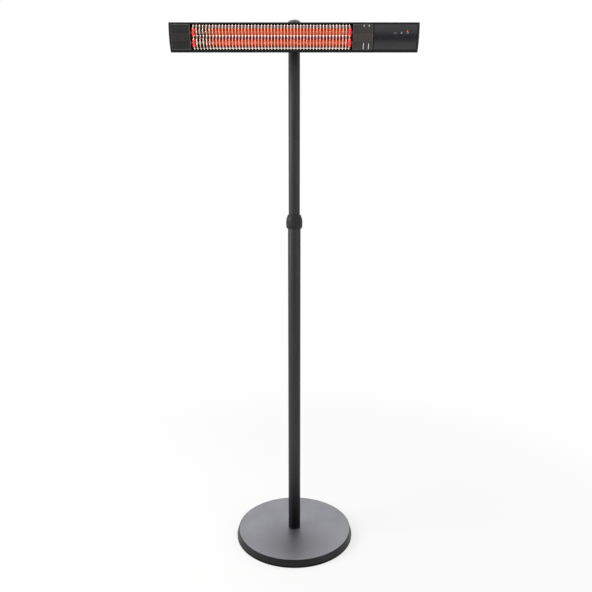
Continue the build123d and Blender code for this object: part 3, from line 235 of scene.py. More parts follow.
class Finish:
    # principled material whose colour, roughness, relief and glow come from object space
    def __init__(self, name, rough=0.5, metal=0.0, level=0.5):
        self.material = bpy.data.materials.new(name)
        self.material.use_nodes = True
        self.tree = self.material.node_tree
        self.nodes = self.tree.nodes
        self.links = self.tree.links
        self.shader = self.nodes["Principled BSDF"]
        self.shader.inputs["Roughness"].default_value = rough
        self.shader.inputs["Metallic"].default_value = metal
        self.shader.inputs["Specular IOR Level"].default_value = level
        self.place = self.nodes.new("ShaderNodeTexCoord").outputs["Object"]

    def noise(self, scale, detail=4.0, stretch=(1.0, 1.0, 1.0)):
        mapping = self.nodes.new("ShaderNodeMapping")
        mapping.inputs["Scale"].default_value = stretch
        self.links.new(self.place, mapping.inputs["Vector"])
        noise = self.nodes.new("ShaderNodeTexNoise")
        noise.inputs["Scale"].default_value = scale
        noise.inputs["Detail"].default_value = detail
        self.links.new(mapping.outputs["Vector"], noise.inputs["Vector"])
        return noise.outputs["Fac"]

    def ramp(self, factor, stops):
        ramp = self.nodes.new("ShaderNodeValToRGB")
        while len(ramp.color_ramp.elements) < len(stops):
            ramp.color_ramp.elements.new(0.5)
        for element, (position, colour) in zip(ramp.color_ramp.elements, stops):
            element.position = position
            element.color = colour
        self.links.new(factor, ramp.inputs["Fac"])
        return ramp.outputs["Color"]

    def colours(self, dark, light, scale, stretch=(1.0, 1.0, 1.0)):
        mixed = self.ramp(self.noise(scale, stretch=stretch), [(0.35, dark), (0.65, light)])
        self.links.new(mixed, self.shader.inputs["Base Color"])
        return self

    def roughness(self, low, high, scale):
        spread = self.spread(self.noise(scale, detail=3.0), 0.3, 0.7, low, high)
        self.links.new(spread, self.shader.inputs["Roughness"])
        return self

    def relief(self, scale, strength, distance, stretch=(1.0, 1.0, 1.0)):
        bump = self.nodes.new("ShaderNodeBump")
        bump.inputs["Strength"].default_value = strength
        bump.inputs["Distance"].default_value = distance
        self.links.new(self.noise(scale, 2.0, stretch), bump.inputs["Height"])
        self.links.new(bump.outputs["Normal"], self.shader.inputs["Normal"])
        return self

    def spread(self, value, fromLow, fromHigh, toLow, toHigh, soft=False):
        mapped = self.nodes.new("ShaderNodeMapRange")
        if soft:
            mapped.interpolation_type = "SMOOTHSTEP"
        mapped.inputs["From Min"].default_value = fromLow
        mapped.inputs["From Max"].default_value = fromHigh
        mapped.inputs["To Min"].default_value = toLow
        mapped.inputs["To Max"].default_value = toHigh
        self.links.new(value, mapped.inputs["Value"])
        return mapped.outputs["Result"]

    def mixed(self, share, first, second):
        # colour between two, each given as a socket or as a plain colour
        mix = self.nodes.new("ShaderNodeMix")
        mix.data_type = "RGBA"
        self.links.new(share, mix.inputs["Factor"])
        for socket, colour in ((mix.inputs[6], first), (mix.inputs[7], second)):
            if isinstance(colour, tuple):
                socket.default_value = colour
            else:
                self.links.new(colour, socket)
        return mix.outputs[2]

    def blended(self, value, own, other, colour):
        # base colour that is its own at one value and turns into another colour at a second value, used to
        # paint shade and highlights
        share = self.spread(value, own, other, 0.0, 1.0, soft=True)
        mine = self.shader.inputs["Base Color"].links[0].from_socket
        self.links.new(self.mixed(share, mine, colour), self.shader.inputs["Base Color"])
        return self

    def away(self, point):
        # distance from a point
        distance = self.nodes.new("ShaderNodeVectorMath")
        distance.operation = "DISTANCE"
        self.links.new(self.place, distance.inputs[0])
        distance.inputs[1].default_value = point
        return distance.outputs["Value"]

    def along(self, axis):
        # coordinate on an axis
        parts = self.nodes.new("ShaderNodeSeparateXYZ")
        self.links.new(self.place, parts.inputs["Vector"])
        return parts.outputs[axis]

    def upFace(self):
        # height up the head's face, from 0 where its colour bands begin to 1 where they end
        measure = self.nodes.new("ShaderNodeVectorMath")
        measure.operation = "DOT_PRODUCT"
        up = headPlace.to_3x3() @ Vector((0.0, 0.0, 1.0))
        self.links.new(self.place, measure.inputs[0])
        measure.inputs[1].default_value = up
        middle = faceMiddle.dot(up)
        reach = head["bandReach"]
        return self.spread(measure.outputs["Value"], middle - reach, middle + reach, 0.0, 1.0)

    def bands(self, height, stops):
        # colour by height up the face, from stops of (millimetres above its middle, colour)
        span = 2000 * head["bandReach"]
        return self.ramp(height, [(0.5 + up / span, colour) for up, colour in stops])

    def set(self, **values):
        for name, value in values.items():
            self.shader.inputs[name.replace("_", " ")].default_value = value
        return self


# where a finish turns from its own colour into painted shade or a painted highlight, first the place of its
# own

turns = {
    "mast": (0.42, 0.0),              # heights, painted shade darker towards the base
    "dome": (0.014, 0.007),           # below the fitting's top, a painted highlight paler on its dome
    "plate": (0.22, 0.02),            # distances from the middle of the darker painted reflection of the mast on the plate's front
    "plateReflectionMiddle": (0.0, -0.13, 0.03),
    "rim": (0.0125, 0.0105),          # heights, a painted shadow line at the rim's foot
    "covers": (0.10, 0.20),           # along the head, painted light paler towards its right end
}

coatBlack = Finish("coatBlack", level=0.2)
coatBlack.colours(tone(16, 16, 17), tone(21, 21, 22), 60.0).roughness(0.40, 0.50, 90.0)
coatBlack.relief(1400.0, 0.14, 0.0002)

mastCoat = Finish("mastCoat", level=0.15)
mastCoat.colours(tone(52, 51, 52), tone(57, 56, 57), 40.0, stretch=(1.0, 1.0, 0.2))
mastCoat.roughness(0.34, 0.42, 60.0)
# painted shade: the mast's coat darkens towards its base
mastCoat.blended(mastCoat.along("Z"), *turns["mast"], tone(4, 4, 5))
mastCoat.relief(1500.0, 0.1, 0.0002)

fittingCoat = Finish("fittingCoat", level=0.3)
fittingCoat.colours(tone(24, 24, 25), tone(29, 29, 30), 60.0).roughness(0.40, 0.50, 90.0)
fittingTop = box("mast_head_fitting")[1].z
domeFoot, domeTop = [fittingTop - drop for drop in turns["dome"]]
# painted highlight: the fitting turns pale grey on its dome
fittingCoat.blended(fittingCoat.along("Z"), domeFoot, domeTop, tone(122, 122, 127))
fittingCoat.relief(1400.0, 0.14, 0.0002)

basePlate = Finish("basePlate", metal=0.85, level=0.5)
basePlate.colours(tone(138, 138, 145), tone(145, 145, 152), 14.0).roughness(0.40, 0.46, 35.0)
# painted reflection: a darker patch on the plate in front of the mast
basePlate.blended(basePlate.away(turns["plateReflectionMiddle"]), *turns["plate"], tone(118, 117, 122))
basePlate.relief(1800.0, 0.12, 0.0002)

rimPlastic = Finish("rimPlastic", level=0.3)
rimPlastic.colours(tone(17, 14, 14), tone(22, 19, 19), 30.0).roughness(0.34, 0.44, 50.0)
# painted shadow: the rim turns near black along its foot
rimPlastic.blended(rimPlastic.along("Z"), *turns["rim"], tone(5, 4, 4))
rimPlastic.relief(900.0, 0.12, 0.0003)

blackRubber = Finish("blackRubber", level=0.1)
blackRubber.colours(tone(6, 6, 7), tone(11, 11, 12), 50.0).roughness(0.7, 0.85, 60.0)
blackRubber.relief(700.0, 0.3, 0.0004)

castIron = Finish("castIron", metal=0.3)
castIron.colours(tone(40, 40, 42), tone(62, 61, 60), 30.0).roughness(0.7, 0.85, 40.0)
castIron.relief(300.0, 0.5, 0.0006)

zincSteel = Finish("zincSteel", metal=1.0)
zincSteel.colours(tone(176, 176, 172), tone(204, 202, 196), 120.0).roughness(0.28, 0.4, 150.0)
zincSteel.relief(700.0, 0.1, 0.0002)

chromeClip = Finish("chromeClip", metal=1.0)
chromeClip.colours(tone(222, 220, 216), tone(240, 238, 234), 60.0).roughness(0.10, 0.2, 90.0)
chromeClip.relief(900.0, 0.05, 0.0001)

polishedSheet = Finish("polishedSheet", metal=1.0)
polishedSheet.colours(tone(176, 168, 162), tone(200, 192, 186), 25.0).roughness(0.24, 0.34, 40.0)
polishedSheet.relief(160.0, 0.05, 0.0004, stretch=(0.2, 1.0, 1.0))

whiteCeramic = Finish("whiteCeramic")
whiteCeramic.colours(tone(214, 208, 196), tone(230, 226, 216), 60.0).roughness(0.4, 0.55, 80.0)
whiteCeramic.relief(500.0, 0.15, 0.0003)

blackPlastic = Finish("blackPlastic", level=0.2)
blackPlastic.colours(tone(36, 36, 38), tone(42, 41, 43), 50.0).roughness(0.42, 0.54, 70.0)
blackPlastic.relief(1100.0, 0.16, 0.0002)

coverPlastic = Finish("coverPlastic", level=0.3)
coverPlastic.colours(tone(29, 29, 31), tone(35, 35, 37), 50.0).roughness(0.4, 0.5, 70.0)
# painted light: the covers turn paler towards the head's right end
coverPlastic.blended(coverPlastic.along("X"), *turns["covers"], tone(60, 56, 57))
coverPlastic.relief(1100.0, 0.16, 0.0002)

coverBand = Finish("coverBand", level=0.3)
coverBand.colours(tone(42, 39, 37), tone(49, 46, 44), 60.0).roughness(0.42, 0.54, 80.0)
# painted light: the bands turn paler towards the head's right end
coverBand.blended(coverBand.along("X"), *turns["covers"], tone(70, 64, 62))
coverBand.relief(1300.0, 0.25, 0.0002)

coverEdge = Finish("coverEdge", level=0.45)
coverEdge.colours(tone(92, 90, 88), tone(106, 104, 102), 80.0).roughness(0.3, 0.4, 90.0)
coverEdge.relief(1100.0, 0.1, 0.0002)

panelGloss = Finish("panelGloss", level=0.6)
panelGloss.colours(tone(24, 23, 27), tone(28, 27, 31), 25.0).roughness(0.26, 0.34, 40.0)
panelGloss.relief(1600.0, 0.05, 0.0001)

capGrey = Finish("capGrey", level=0.45)
capGrey.colours(tone(150, 150, 154), tone(160, 160, 164), 60.0).roughness(0.3, 0.4, 70.0)
capGrey.relief(1100.0, 0.12, 0.0002)

keyLens = Finish("keyLens", level=0.4)
keyLens.colours(tone(38, 39, 42), tone(44, 45, 48), 60.0).roughness(0.22, 0.3, 70.0)
keyLens.relief(1600.0, 0.04, 0.0001)

redLight = Finish("redLight")
redLight.colours(tone(200, 30, 20), tone(230, 50, 35), 400.0).roughness(0.2, 0.3, 200.0)
redLight.set(Emission_Color=tone(255, 84, 64), Emission_Strength=1.8)

boardGreen = Finish("boardGreen")
boardGreen.colours(tone(20, 72, 44), tone(34, 92, 58), 150.0).roughness(0.35, 0.5, 100.0)
boardGreen.relief(600.0, 0.1, 0.0002)

brass = Finish("brass", metal=1.0)
brass.colours(tone(196, 160, 92), tone(216, 180, 110), 120.0).roughness(0.25, 0.38, 120.0)
brass.relief(800.0, 0.1, 0.0002)

frictionFibre = Finish("frictionFibre")
frictionFibre.colours(tone(88, 74, 60), tone(120, 102, 84), 400.0).roughness(0.75, 0.9, 200.0)
frictionFibre.relief(900.0, 0.4, 0.0003)

leadSilicone = Finish("leadSilicone")
leadSilicone.colours(tone(196, 190, 178), tone(212, 206, 196), 90.0).roughness(0.5, 0.6, 90.0)
leadSilicone.relief(500.0, 0.1, 0.0002)

print("patio heater: finishes")

# glow of the lamps, which fades towards their cold ends, and the painted lamp light and painted highlights on
# the troughs, wires and rods before them

glow = {
    "coolLeft": -0.330,     # where the left end starts to glow
    "fullLeft": -0.262,
    "fullRight": 0.155,
    "coolRight": 0.215,
    "redLeft": (-0.3475, -0.3440),     # where the painted red light of each end fades
    "redRight": (0.1865, 0.1900),
    "noise": 30.0,          # scale of the light's slow unevenness along the lamps
    "stretch": (0.3, 1.0, 1.0),
    "uneven": (0.9, 1.1),
}
glowBands = [     # height in millimetres and share of the lamps' glow, also painted as lamp light on the troughs
    (-33, 0.0), (-28, 0.12), (-25.5, 1.0), (-8, 1.0), (-5, 0.12),
    (4, 0.12), (8.5, 1.0), (27, 1.0), (30.5, 0.0),
]
unlit = tone(0, 0, 0)
white = tone(255, 255, 255)


def glowing(colour):
    # light of the two lamps by height up the face: their own glow, and painted lamp light where it falls on
    # parts that are no lamp
    return [(up, (*[share * part for part in colour[:3]], 1.0)) for up, share in glowBands]


def lampGlowAndPaintedLight(name, rough, metal, level, cold, warm, light, strength, rest=None, red=None):
    # finish that glows along the heater's length and fades at its ends: the lamps' own glow, and painted lamp
    # light and painted highlights on the troughs, wires and rods
    finish = Finish(name, rough=rough, metal=metal, level=level)
    length = finish.along("X")
    height = finish.upFace()
    left = finish.spread(length, glow["coolLeft"], glow["fullLeft"], 0.0, 1.0, soft=True)
    right = finish.spread(length, glow["coolRight"], glow["fullRight"], 0.0, 1.0, soft=True)
    # share of the glow along the length, the lamps' own and the painted lamp light alike
    heat = combined(finish.tree, "MULTIPLY", left, right)
    colour = finish.mixed(heat, cold, finish.bands(height, warm))
    power = finish.noise(glow["noise"], stretch=glow["stretch"])
    power = finish.spread(power, 0.3, 0.7, *[share * strength for share in glow["uneven"]])
    # painted highlights that stay on the cold ends
    dark = finish.bands(height, rest) if rest else unlit
    shine = finish.mixed(heat, dark, finish.bands(height, light))
    # painted red light of the reflector ends, on the wires before them
    if red:
        inBand = finish.bands(height, glowing(white))
        redLeft = finish.spread(length, *glow["redLeft"], 1.0, 0.0)
        redRight = finish.spread(length, *glow["redRight"], 0.0, 1.0)
        redEnds = combined(finish.tree, "MAXIMUM", redLeft, redRight)
        redShare = combined(finish.tree, "MULTIPLY", redEnds, inBand)
        colour = finish.mixed(redShare, colour, red)
        shine = finish.mixed(redShare, shine, red)
        power = combined(finish.tree, "MAXIMUM", power, redShare)
    finish.links.new(colour, finish.shader.inputs["Base Color"])
    finish.links.new(shine, finish.shader.inputs["Emission Color"])
    finish.links.new(power, finish.shader.inputs["Emission Strength"])
    return finish


carbon = lampGlowAndPaintedLight(
    "carbon", rough=0.6, metal=0.0, level=0.3, cold=tone(40, 36, 34),
    warm=[(-30, tone(60, 40, 34)), (30, tone(60, 40, 34))],
    light=glowing(tone(255, 128, 70)), strength=1.2,
)
hotQuartz = lampGlowAndPaintedLight(
    "hotQuartz", rough=0.2, metal=0.0, level=0.4, cold=tone(120, 112, 106),
    warm=[(-30, tone(110, 72, 60)), (30, tone(104, 64, 52))],
    light=glowing(tone(170, 78, 56)), strength=0.75,
)
# troughs: painted lamp light glows on the sheet, and its colour bands by height are painted reflections
paintedGlowTrough = lampGlowAndPaintedLight(
    "paintedGlowTrough", rough=0.4, metal=0.8, level=0.5, cold=tone(74, 58, 52),
    warm=[
        (-36, tone(120, 110, 112)), (-30, tone(110, 84, 80)), (-26, tone(92, 56, 46)), (-8, tone(92, 56, 46)),
        (-4, tone(84, 62, 72)), (4, tone(96, 70, 74)), (8, tone(92, 50, 44)), (28, tone(92, 50, 42)),
        (31, tone(150, 144, 158)), (36, tone(128, 116, 128)),
    ],
    light=glowing(tone(150, 62, 42)), strength=0.75,
)
paintedGlowTrough.relief(160.0, 0.05, 0.0004, stretch=(0.2, 1.0, 1.0))
# colours of the wires by height, painted with the lamps' light and with white highlights where they bend
paintedWireColours = [
    (-34, tone(246, 240, 234)), (-28, tone(236, 200, 186)), (-24, tone(236, 150, 128)),
    (-8, tone(224, 130, 110)), (-3, tone(214, 160, 164)), (3, tone(246, 220, 200)),
    (7, tone(250, 232, 218)), (11, tone(232, 140, 104)), (27, tone(232, 136, 98)),
    (31, tone(236, 220, 212)), (37, tone(240, 206, 200)),
]
coldSteel = tone(226, 212, 192)
glint = tone(250, 246, 242)     # painted highlight where the wires bend over the rods
# painted highlights that the wires keep at the cold ends
glints = [
    (-39.5, glint), (-34.4, glint), (-33.4, unlit), (3.6, unlit), (4.6, glint), (7.4, glint), (8.2, unlit),
]
# painted lamp light and painted highlights on the wires, by height
paintedWireGlow = [
    (-39.5, glint), (-34.4, glint), (-32.8, tone(104, 76, 70)), (-28, tone(134, 80, 68)),
    (-25.5, tone(180, 70, 47)), (-8, tone(180, 70, 47)), (-5, tone(124, 68, 60)), (-2, tone(136, 84, 78)),
    (2, tone(184, 122, 108)), (4.4, glint), (7.4, glint), (9, tone(186, 82, 58)), (27, tone(186, 72, 46)),
    (30.5, unlit),
]
# wires: painted lamp light and highlights, and painted red light at their ends
paintedGlowWire = lampGlowAndPaintedLight(
    "paintedGlowWire", rough=0.28, metal=1.0, level=0.5, cold=coldSteel, warm=paintedWireColours,
    light=paintedWireGlow, strength=0.85, rest=glints, red=tone(244, 58, 58),
)
paintedGlowWire.relief(900.0, 0.05, 0.0001)
# rods: painted lamp light and painted highlights by height
paintedGlowRod = lampGlowAndPaintedLight(
    "paintedGlowRod", rough=0.32, metal=1.0, level=0.5, cold=tone(170, 150, 136),
    warm=[(-34, tone(200, 190, 184)), (0, tone(190, 120, 100)), (37, tone(190, 170, 164))],
    light=[
        (-38, tone(186, 182, 178)), (-32, tone(186, 182, 178)), (-30, tone(110, 54, 42)),
        (3, tone(110, 54, 42)), (4.5, tone(190, 130, 110)), (7.5, tone(190, 130, 110)),
        (9, tone(110, 54, 42)), (30, unlit),
    ],
    strength=0.7,
)
paintedGlowRod.relief(900.0, 0.05, 0.0001)

# reflector ends: a painted red glow of the lamps' light, though they are no lamp
redEnd = Finish("redEnd", rough=0.4, metal=0.3)
redEnd.colours(tone(150, 40, 40), tone(180, 52, 50), 60.0)
redEnd.set(Emission_Color=tone(248, 64, 62), Emission_Strength=0.9)

slotFinishes = {
    "black_coat": coatBlack,
    "grey_coat": mastCoat,
    "rim_plastic": rimPlastic,
    "black_rubber": blackRubber,
    "cast_weight": castIron,
    "zinc_steel": zincSteel,
    "chrome_wire": chromeClip,
    "polished_sheet": polishedSheet,
    "quartz": hotQuartz,
    "white_ceramic": whiteCeramic,
    "black_plastic": blackPlastic,
    "panel_gloss": panelGloss,
    "cap_grey": capGrey,
    "key_lens": keyLens,
    "red_light": redLight,
    "board_green": boardGreen,
    "brass": brass,
    "friction_fibre": frictionFibre,
    "lead_silicone": leadSilicone,
    "glowing_carbon": carbon,
}
ownFinishes = {"left_reflector_end": redEnd, "right_reflector_end": redEnd}

for part in frame["record"]["subparts"]:
    node = part["node"]
    cadPiece = frame["nodes"][node]
    if not cadPiece.material_slots:
        cadPiece.data.materials.append(None)
    for place in cadPiece.material_slots:
        place.material = ownFinishes.get(node, slotFinishes[part["material_slot"]]).material
print("patio heater: CAD nodes finished")


# base: a weight under a steel plate, in a plastic rim on a rubber ring

base = {
    "draw": 0.0076,          # the rim's top is this much smaller than its foot
    "wall": 0.0035,
    "floor": 0.004,
    "overlap": 0.014,
    "weightInset": 0.0477,
    "rimEdge": 0.0008,
    "plateEdge": 0.0005,
    "plateGap": 0.0002,
    "boltHole": 0.0062,
    "ringWidth": 0.016,
    "ringEdge": 0.0015,
    "ringGroove": (0.0009, 0.0006),
    "sides": 256,
}


def makeBase():
    low, high = box("base_rim")
    radius = high.x
    top = high.z
    foot = low.z
    topRadius = radius - base["draw"]
    plateThickness = top - box("base_top_plate")[0].z
    bore = topRadius - base["wall"] / 2
    floorBore = radius - base["weightInset"] - base["overlap"]
    edge = base["rimEdge"]
    rim = softened([
        (floorBore, foot, edge),
        (radius, foot, edge),
        (topRadius, top, edge),
        (bore, top, edge / 2),
        (bore, top - plateThickness),
        (topRadius - base["wall"], top - plateThickness),
        (radius - base["wall"], foot + base["floor"]),
        (floorBore, foot + base["floor"]),
    ])
    mesh = lathe(rim, base["sides"])
    addPiece("baseRim", mesh, "stand", "rim_plastic", rimPlastic, "base_rim")

    edge = base["plateEdge"]
    plateRadius = bore - base["plateGap"]
    plate = softened([
        (base["boltHole"], top - plateThickness),
        (plateRadius, top - plateThickness, edge),
        (plateRadius, top, edge),
        (base["boltHole"], top),
    ])
    mesh = lathe(plate, base["sides"])
    addPiece("basePlate", mesh, "stand", "grey_coat", basePlate, "base_top_plate")

    low, high = box("foot_ring")
    edge = base["ringEdge"]
    deep, tall = base["ringGroove"]
    middle = (low.z + high.z) / 2
    rubber = softened([
        (high.x - base["ringWidth"], low.z, edge),
        (high.x, low.z, edge),
        (high.x, middle - tall),
        (high.x - deep, middle, tall),
        (high.x, middle + tall),
        (high.x, high.z),
        (high.x - base["ringWidth"], high.z),
    ])
    mesh = lathe(rubber, base["sides"])
    addPiece("footRing", mesh, "stand", "black_rubber", blackRubber, "foot_ring")
    print("patio heater: base")


makeBase()


# mast: two tubes and the twist-lock collar between them

mast = {
    "lowerWall": 0.002,
    "upperWall": 0.0016,
    "tubeEdge": 0.0005,
    "sides": 96,
}

collar = {
    "footRise": 0.0035,       # past the lower tube
    "topRise": 0.0026,        # past the upper tube
    "bellyHeight": 0.024,
    "footHeading": (0.010, 0.012),      # of the outline, out and up, at its foot, belly and top
    "bellyHeading": (0.0, 0.026),
    "topHeading": (-0.014, 0.024),
    "bore": 0.0275,
    "topBore": 0.0223,
    "boreTop": 0.0057,        # below the collar's top
    "ribs": 20,
    "grooveRadius": 0.0022,
    "grooveDepth": 0.0009,
    "grooveEnd": 0.0027,      # the grooves run out where the collar is this much slimmer than its belly
    "softEdge": 0.0007,
    "bulgeSteps": 18,
    "sidesPerRib": 20,
}


def makeTube(name, node, body, wall):
    low, high = box(node)
    edge = mast["tubeEdge"]
    outline = softened([
        (high.x - wall, low.z, edge),
        (high.x, low.z, edge),
        (high.x, high.z, edge),
        (high.x - wall, high.z, edge),
    ], steps=3)
    mesh = lathe(outline, mast["sides"])
    addPiece(name, mesh, body, "black_coat", mastCoat, node)


def hermite(first, last, leave, arrive, steps):
    # smooth curve between two points with the headings at its ends
    points = []
    for step in range(steps + 1):
        t = step / steps
        a, b = 2 * t**3 - 3 * t**2 + 1, t**3 - 2 * t**2 + t
        c, d = 3 * t**2 - 2 * t**3, t**3 - t**2
        points.append(tuple(a * first[k] + b * leave[k] + c * last[k] + d * arrive[k] for k in (0, 1)))
    return points


def makeCollar():
    low, high = box("lock_nut")
    lowerRadius = box("lower_tube")[1].x
    upperRadius = box("upper_tube")[1].x
    belly = high.x
    foot = (lowerRadius + collar["footRise"], low.z)
    middle = (belly, low.z + collar["bellyHeight"])
    top = (upperRadius + collar["topRise"], high.z)
    steps = collar["bulgeSteps"]
    lowerBulge = hermite(foot, middle, collar["footHeading"], collar["bellyHeading"], steps)
    upperBulge = hermite(middle, top, collar["bellyHeading"], collar["topHeading"], steps)
    edge = collar["softEdge"]
    rounded = [(*foot, edge)] + lowerBulge[1:] + upperBulge[1:-1] + [(*top, edge)]
    inner = [
        (collar["topBore"], high.z, edge),
        (collar["topBore"], high.z - collar["boreTop"]),
        (collar["bore"], high.z - collar["boreTop"]),
        (collar["bore"], low.z, edge),
    ]
    grooveCentre = belly + collar["grooveRadius"] - collar["grooveDepth"]
    pitch = 2 * pi / collar["ribs"]

    def carve(radius, angle):
        # the radius left by the grip grooves, round bars cut straight down the collar
        if radius < belly - collar["grooveEnd"]:
            return radius
        away = (angle + pitch / 2) % pitch - pitch / 2
        side = grooveCentre * sin(away)
        if abs(side) >= collar["grooveRadius"]:
            return radius
        floor = grooveCentre * cos(away) - sqrt(collar["grooveRadius"] ** 2 - side**2)
        return min(radius, floor)

    mesh = lathe(softened(rounded + inner, steps=3), collar["ribs"] * collar["sidesPerRib"], carve)
    addPiece("lockCollar", mesh, "lock_nut", "black_plastic", blackPlastic, "lock_nut", sharpAngle=40)
    print("patio heater: collar")


makeTube("lowerTube", "lower_tube", "stand", mast["lowerWall"])
makeTube("upperTube", "upper_tube", "upper_mast", mast["upperWall"])
makeCollar()

# fitting on the mast's top, with the tongue that the head tilts on

fitting = {
    "wall": 0.00195,
    "grip": 0.090,
    "domeHeight": 0.008,
    "domeOver": (0.72, 0.66),     # shares of its width and height at a point on the dome
    "flatRadius": 0.014,
    "capRadius": 0.011,
    "capThickness": 0.003,
    "capEdge": 0.001,
    "capRise": 0.0015,
    "edge": 0.0006,
    "tongueWidth": 0.014,
    "knuckle": 0.013,
    "tongueEdge": 0.0008,
}


def makeFitting():
    tubeRadius = box("upper_tube")[1].x
    tubeTop = box("upper_tube")[1].z
    radius = tubeRadius + fitting["wall"]
    top = box("mast_head_fitting")[1].z
    shoulder = top - fitting["domeHeight"]
    flat = fitting["flatRadius"]
    pocket = top - fitting["capThickness"] + fitting["capRise"]
    edge = fitting["edge"]
    outShare, upShare = fitting["domeOver"]
    over = (flat + (radius - flat) * outShare, shoulder + fitting["domeHeight"] * upShare)
    dome = arcThrough((radius, shoulder), over, (flat, top), steps=14)
    outline = softened([
        (tubeRadius, tubeTop - fitting["grip"]),
        (radius, tubeTop - fitting["grip"], edge),
        *dome,
        (fitting["capRadius"], top, edge / 2),
        (fitting["capRadius"], pocket),
        (0.0, pocket),
        (0.0, tubeTop),
        (tubeRadius, tubeTop),
    ], steps=4)
    mesh = lathe(outline, mast["sides"])
    low, high = box("pivot_bolt")
    pivot = (low + high) / 2
    knuckle = fitting["knuckle"]
    tip = arcThrough(
        (pivot.y, pivot.z + knuckle), (pivot.y - knuckle, pivot.z), (pivot.y, pivot.z - knuckle), steps=32
    )
    tongue = [(-tubeRadius, pivot.z + knuckle)] + tip + [(-tubeRadius, pivot.z - knuckle)]
    half = fitting["tongueWidth"] / 2
    prism(mesh, tongue, lambda y, z, x: Vector((x, y, z)), -half, half, fitting["tongueEdge"])
    addPiece("mastFitting", mesh, "upper_mast", "black_coat", fittingCoat, "mast_head_fitting")

    low, high = box("mast_top_cap")
    outline = softened([
        (0.0, low.z),
        (high.x, low.z),
        (high.x, high.z, fitting["capEdge"]),
        (0.0, high.z),
    ], steps=6)
    mesh = lathe(outline, mast["sides"])
    addPiece("mastCap", mesh, "upper_mast", "cap_grey", capGrey, "mast_top_cap")
    print("patio heater: mast")


makeFitting()

# head housing, its section closed behind the bowed face

halfHeight = head["height"] / 2
faceRadius = (halfHeight**2 + head["bow"] ** 2) / (2 * head["bow"])
openingTop = halfHeight - head["topLip"]
openingBottom = head["bottomLip"] - halfHeight


def bow(height, inset=0.0):
    # depth of the bowed face at a height on it, or of a surface set in from it
    return faceRadius - head["bow"] - sqrt((faceRadius - inset) ** 2 - height**2)


def bowLine(top, bottom, inset, steps):
    heights = [top + (bottom - top) * step / steps for step in range(steps + 1)]
    return [(bow(height, inset), height) for height in heights]


def bowedStrip(top, bottom, outerInset, innerInset, steps=24):
    # closed outline of a shell that follows the face
    return bowLine(top, bottom, outerInset, steps) + bowLine(bottom, top, innerInset, steps)


def acrossHead(depth, height, x):
    return Vector((x, depth, height))


def housingLine(inset):
    # section of the housing from the opening's top round the back to its bottom
    corner = head["backRadius"] - inset
    flank = head["depth"] - head["backRadius"]
    edge = halfHeight - inset
    front = bow(edge, inset) if inset else 0.0
    centre = halfHeight - head["backRadius"]
    slant = corner * sqrt(0.5)
    upperFront = bowLine(openingTop, edge, inset, 4)[:-1] + [(front, edge, head["shoulderEdge"])]
    upperBack = arcThrough(
        (flank, edge), (flank + slant, centre + slant), (head["depth"] - inset, centre), steps=20
    )
    upper = upperFront + upperBack
    lower = [(point[0], -point[1], *point[2:]) for point in reversed(upperBack)]
    lower += [(front, -edge, head["shoulderEdge"])]
    lower += bowLine(-edge, openingBottom, inset, 6)[1:]
    line = upper + lower
    line[0] = (*line[0], head["lipEdge"])
    line[-1] = (*line[-1], head["lipEdge"])
    return line


def makeHousing():
    low, high = box("head_housing")
    outline = softened(housingLine(0.0) + list(reversed(housingLine(head["wall"]))), steps=4)
    mesh = bmesh.new()
    prism(mesh, outline, acrossHead, low.x, high.x)
    addHeadPiece("headHousing", mesh, "black_coat", coatBlack, "head_housing", sharpAngle=30)
    print("patio heater: housing")


makeHousing()

# troughs behind the lamps, and the lamps

troughs = {
    "middle": -0.0005,
    "height": 0.028,
    "gap": 0.005,
    "ribGap": 0.0002,
    "depth": 0.018,
    "front": 0.004,
    "sheet": 0.0008,
    "flange": 0.005,
    "edge": 0.0006,
}
lampShape = {
    "radius": 0.0055,
    "wall": 0.001,
    "depth": 0.0125,
    "endRound": 0.003,
    "sides": 40,
}
troughMiddles = {
    "upper": troughs["middle"] + (troughs["height"] + troughs["gap"]) / 2,
    "lower": troughs["middle"] - (troughs["height"] + troughs["gap"]) / 2,
}


def makeTrough(name, node, middle, outward):
    low, high = box(node)
    front = troughs["front"]
    face = front - troughs["sheet"]
    reach = troughs["height"] / 2
    inside = reach - troughs["sheet"]
    rib = (troughs["gap"] - troughs["ribGap"]) / 2
    above = troughs["flange"] if outward > 0 else rib
    below = rib if outward > 0 else troughs["flange"]
    edge = troughs["edge"]
    back = arcThrough(
        (front, middle + reach), (front + troughs["depth"], middle), (front, middle - reach), steps=40
    )
    shine = arcThrough(
        (front, middle - inside),
        (front + troughs["depth"] - troughs["sheet"], middle),
        (front, middle + inside),
        steps=40,
    )
    outline = softened([
        (front, middle + reach + above),
        *back,
        (front, middle - reach - below),
        (face, middle - reach - below, edge / 2),
        (face, middle - inside, edge),
        *shine,
        (face, middle + inside, edge),
        (face, middle + reach + above, edge / 2),
    ], steps=4)
    mesh = bmesh.new()
    prism(mesh, outline, acrossHead, low.x, high.x)
    addHeadPiece(name, mesh, "polished_sheet", paintedGlowTrough, node, sharpAngle=40)


def makeLamp(name, node, middle):
    low, high = box(node)
    radius = lampShape["radius"]
    wall = lampShape["wall"]
    bore = radius - wall
    endRound = lampShape["endRound"]
    outline = softened([
        (0.0, low.x),
        (radius, low.x, endRound),
        (radius, high.x, endRound),
        (0.0, high.x),
        (0.0, high.x - wall),
        (bore, high.x - wall, endRound - wall),
        (bore, low.x + wall, endRound - wall),
        (0.0, low.x + wall),
    ], steps=6)
    mesh = lathe(outline, lampShape["sides"])
    lying = Matrix.Rotation(pi / 2, 4, "Y")
    place = headPlace @ Matrix.Translation((0.0, lampShape["depth"], middle)) @ lying
    addPiece(name, mesh, "head", "quartz", hotQuartz, node, matrix=place)


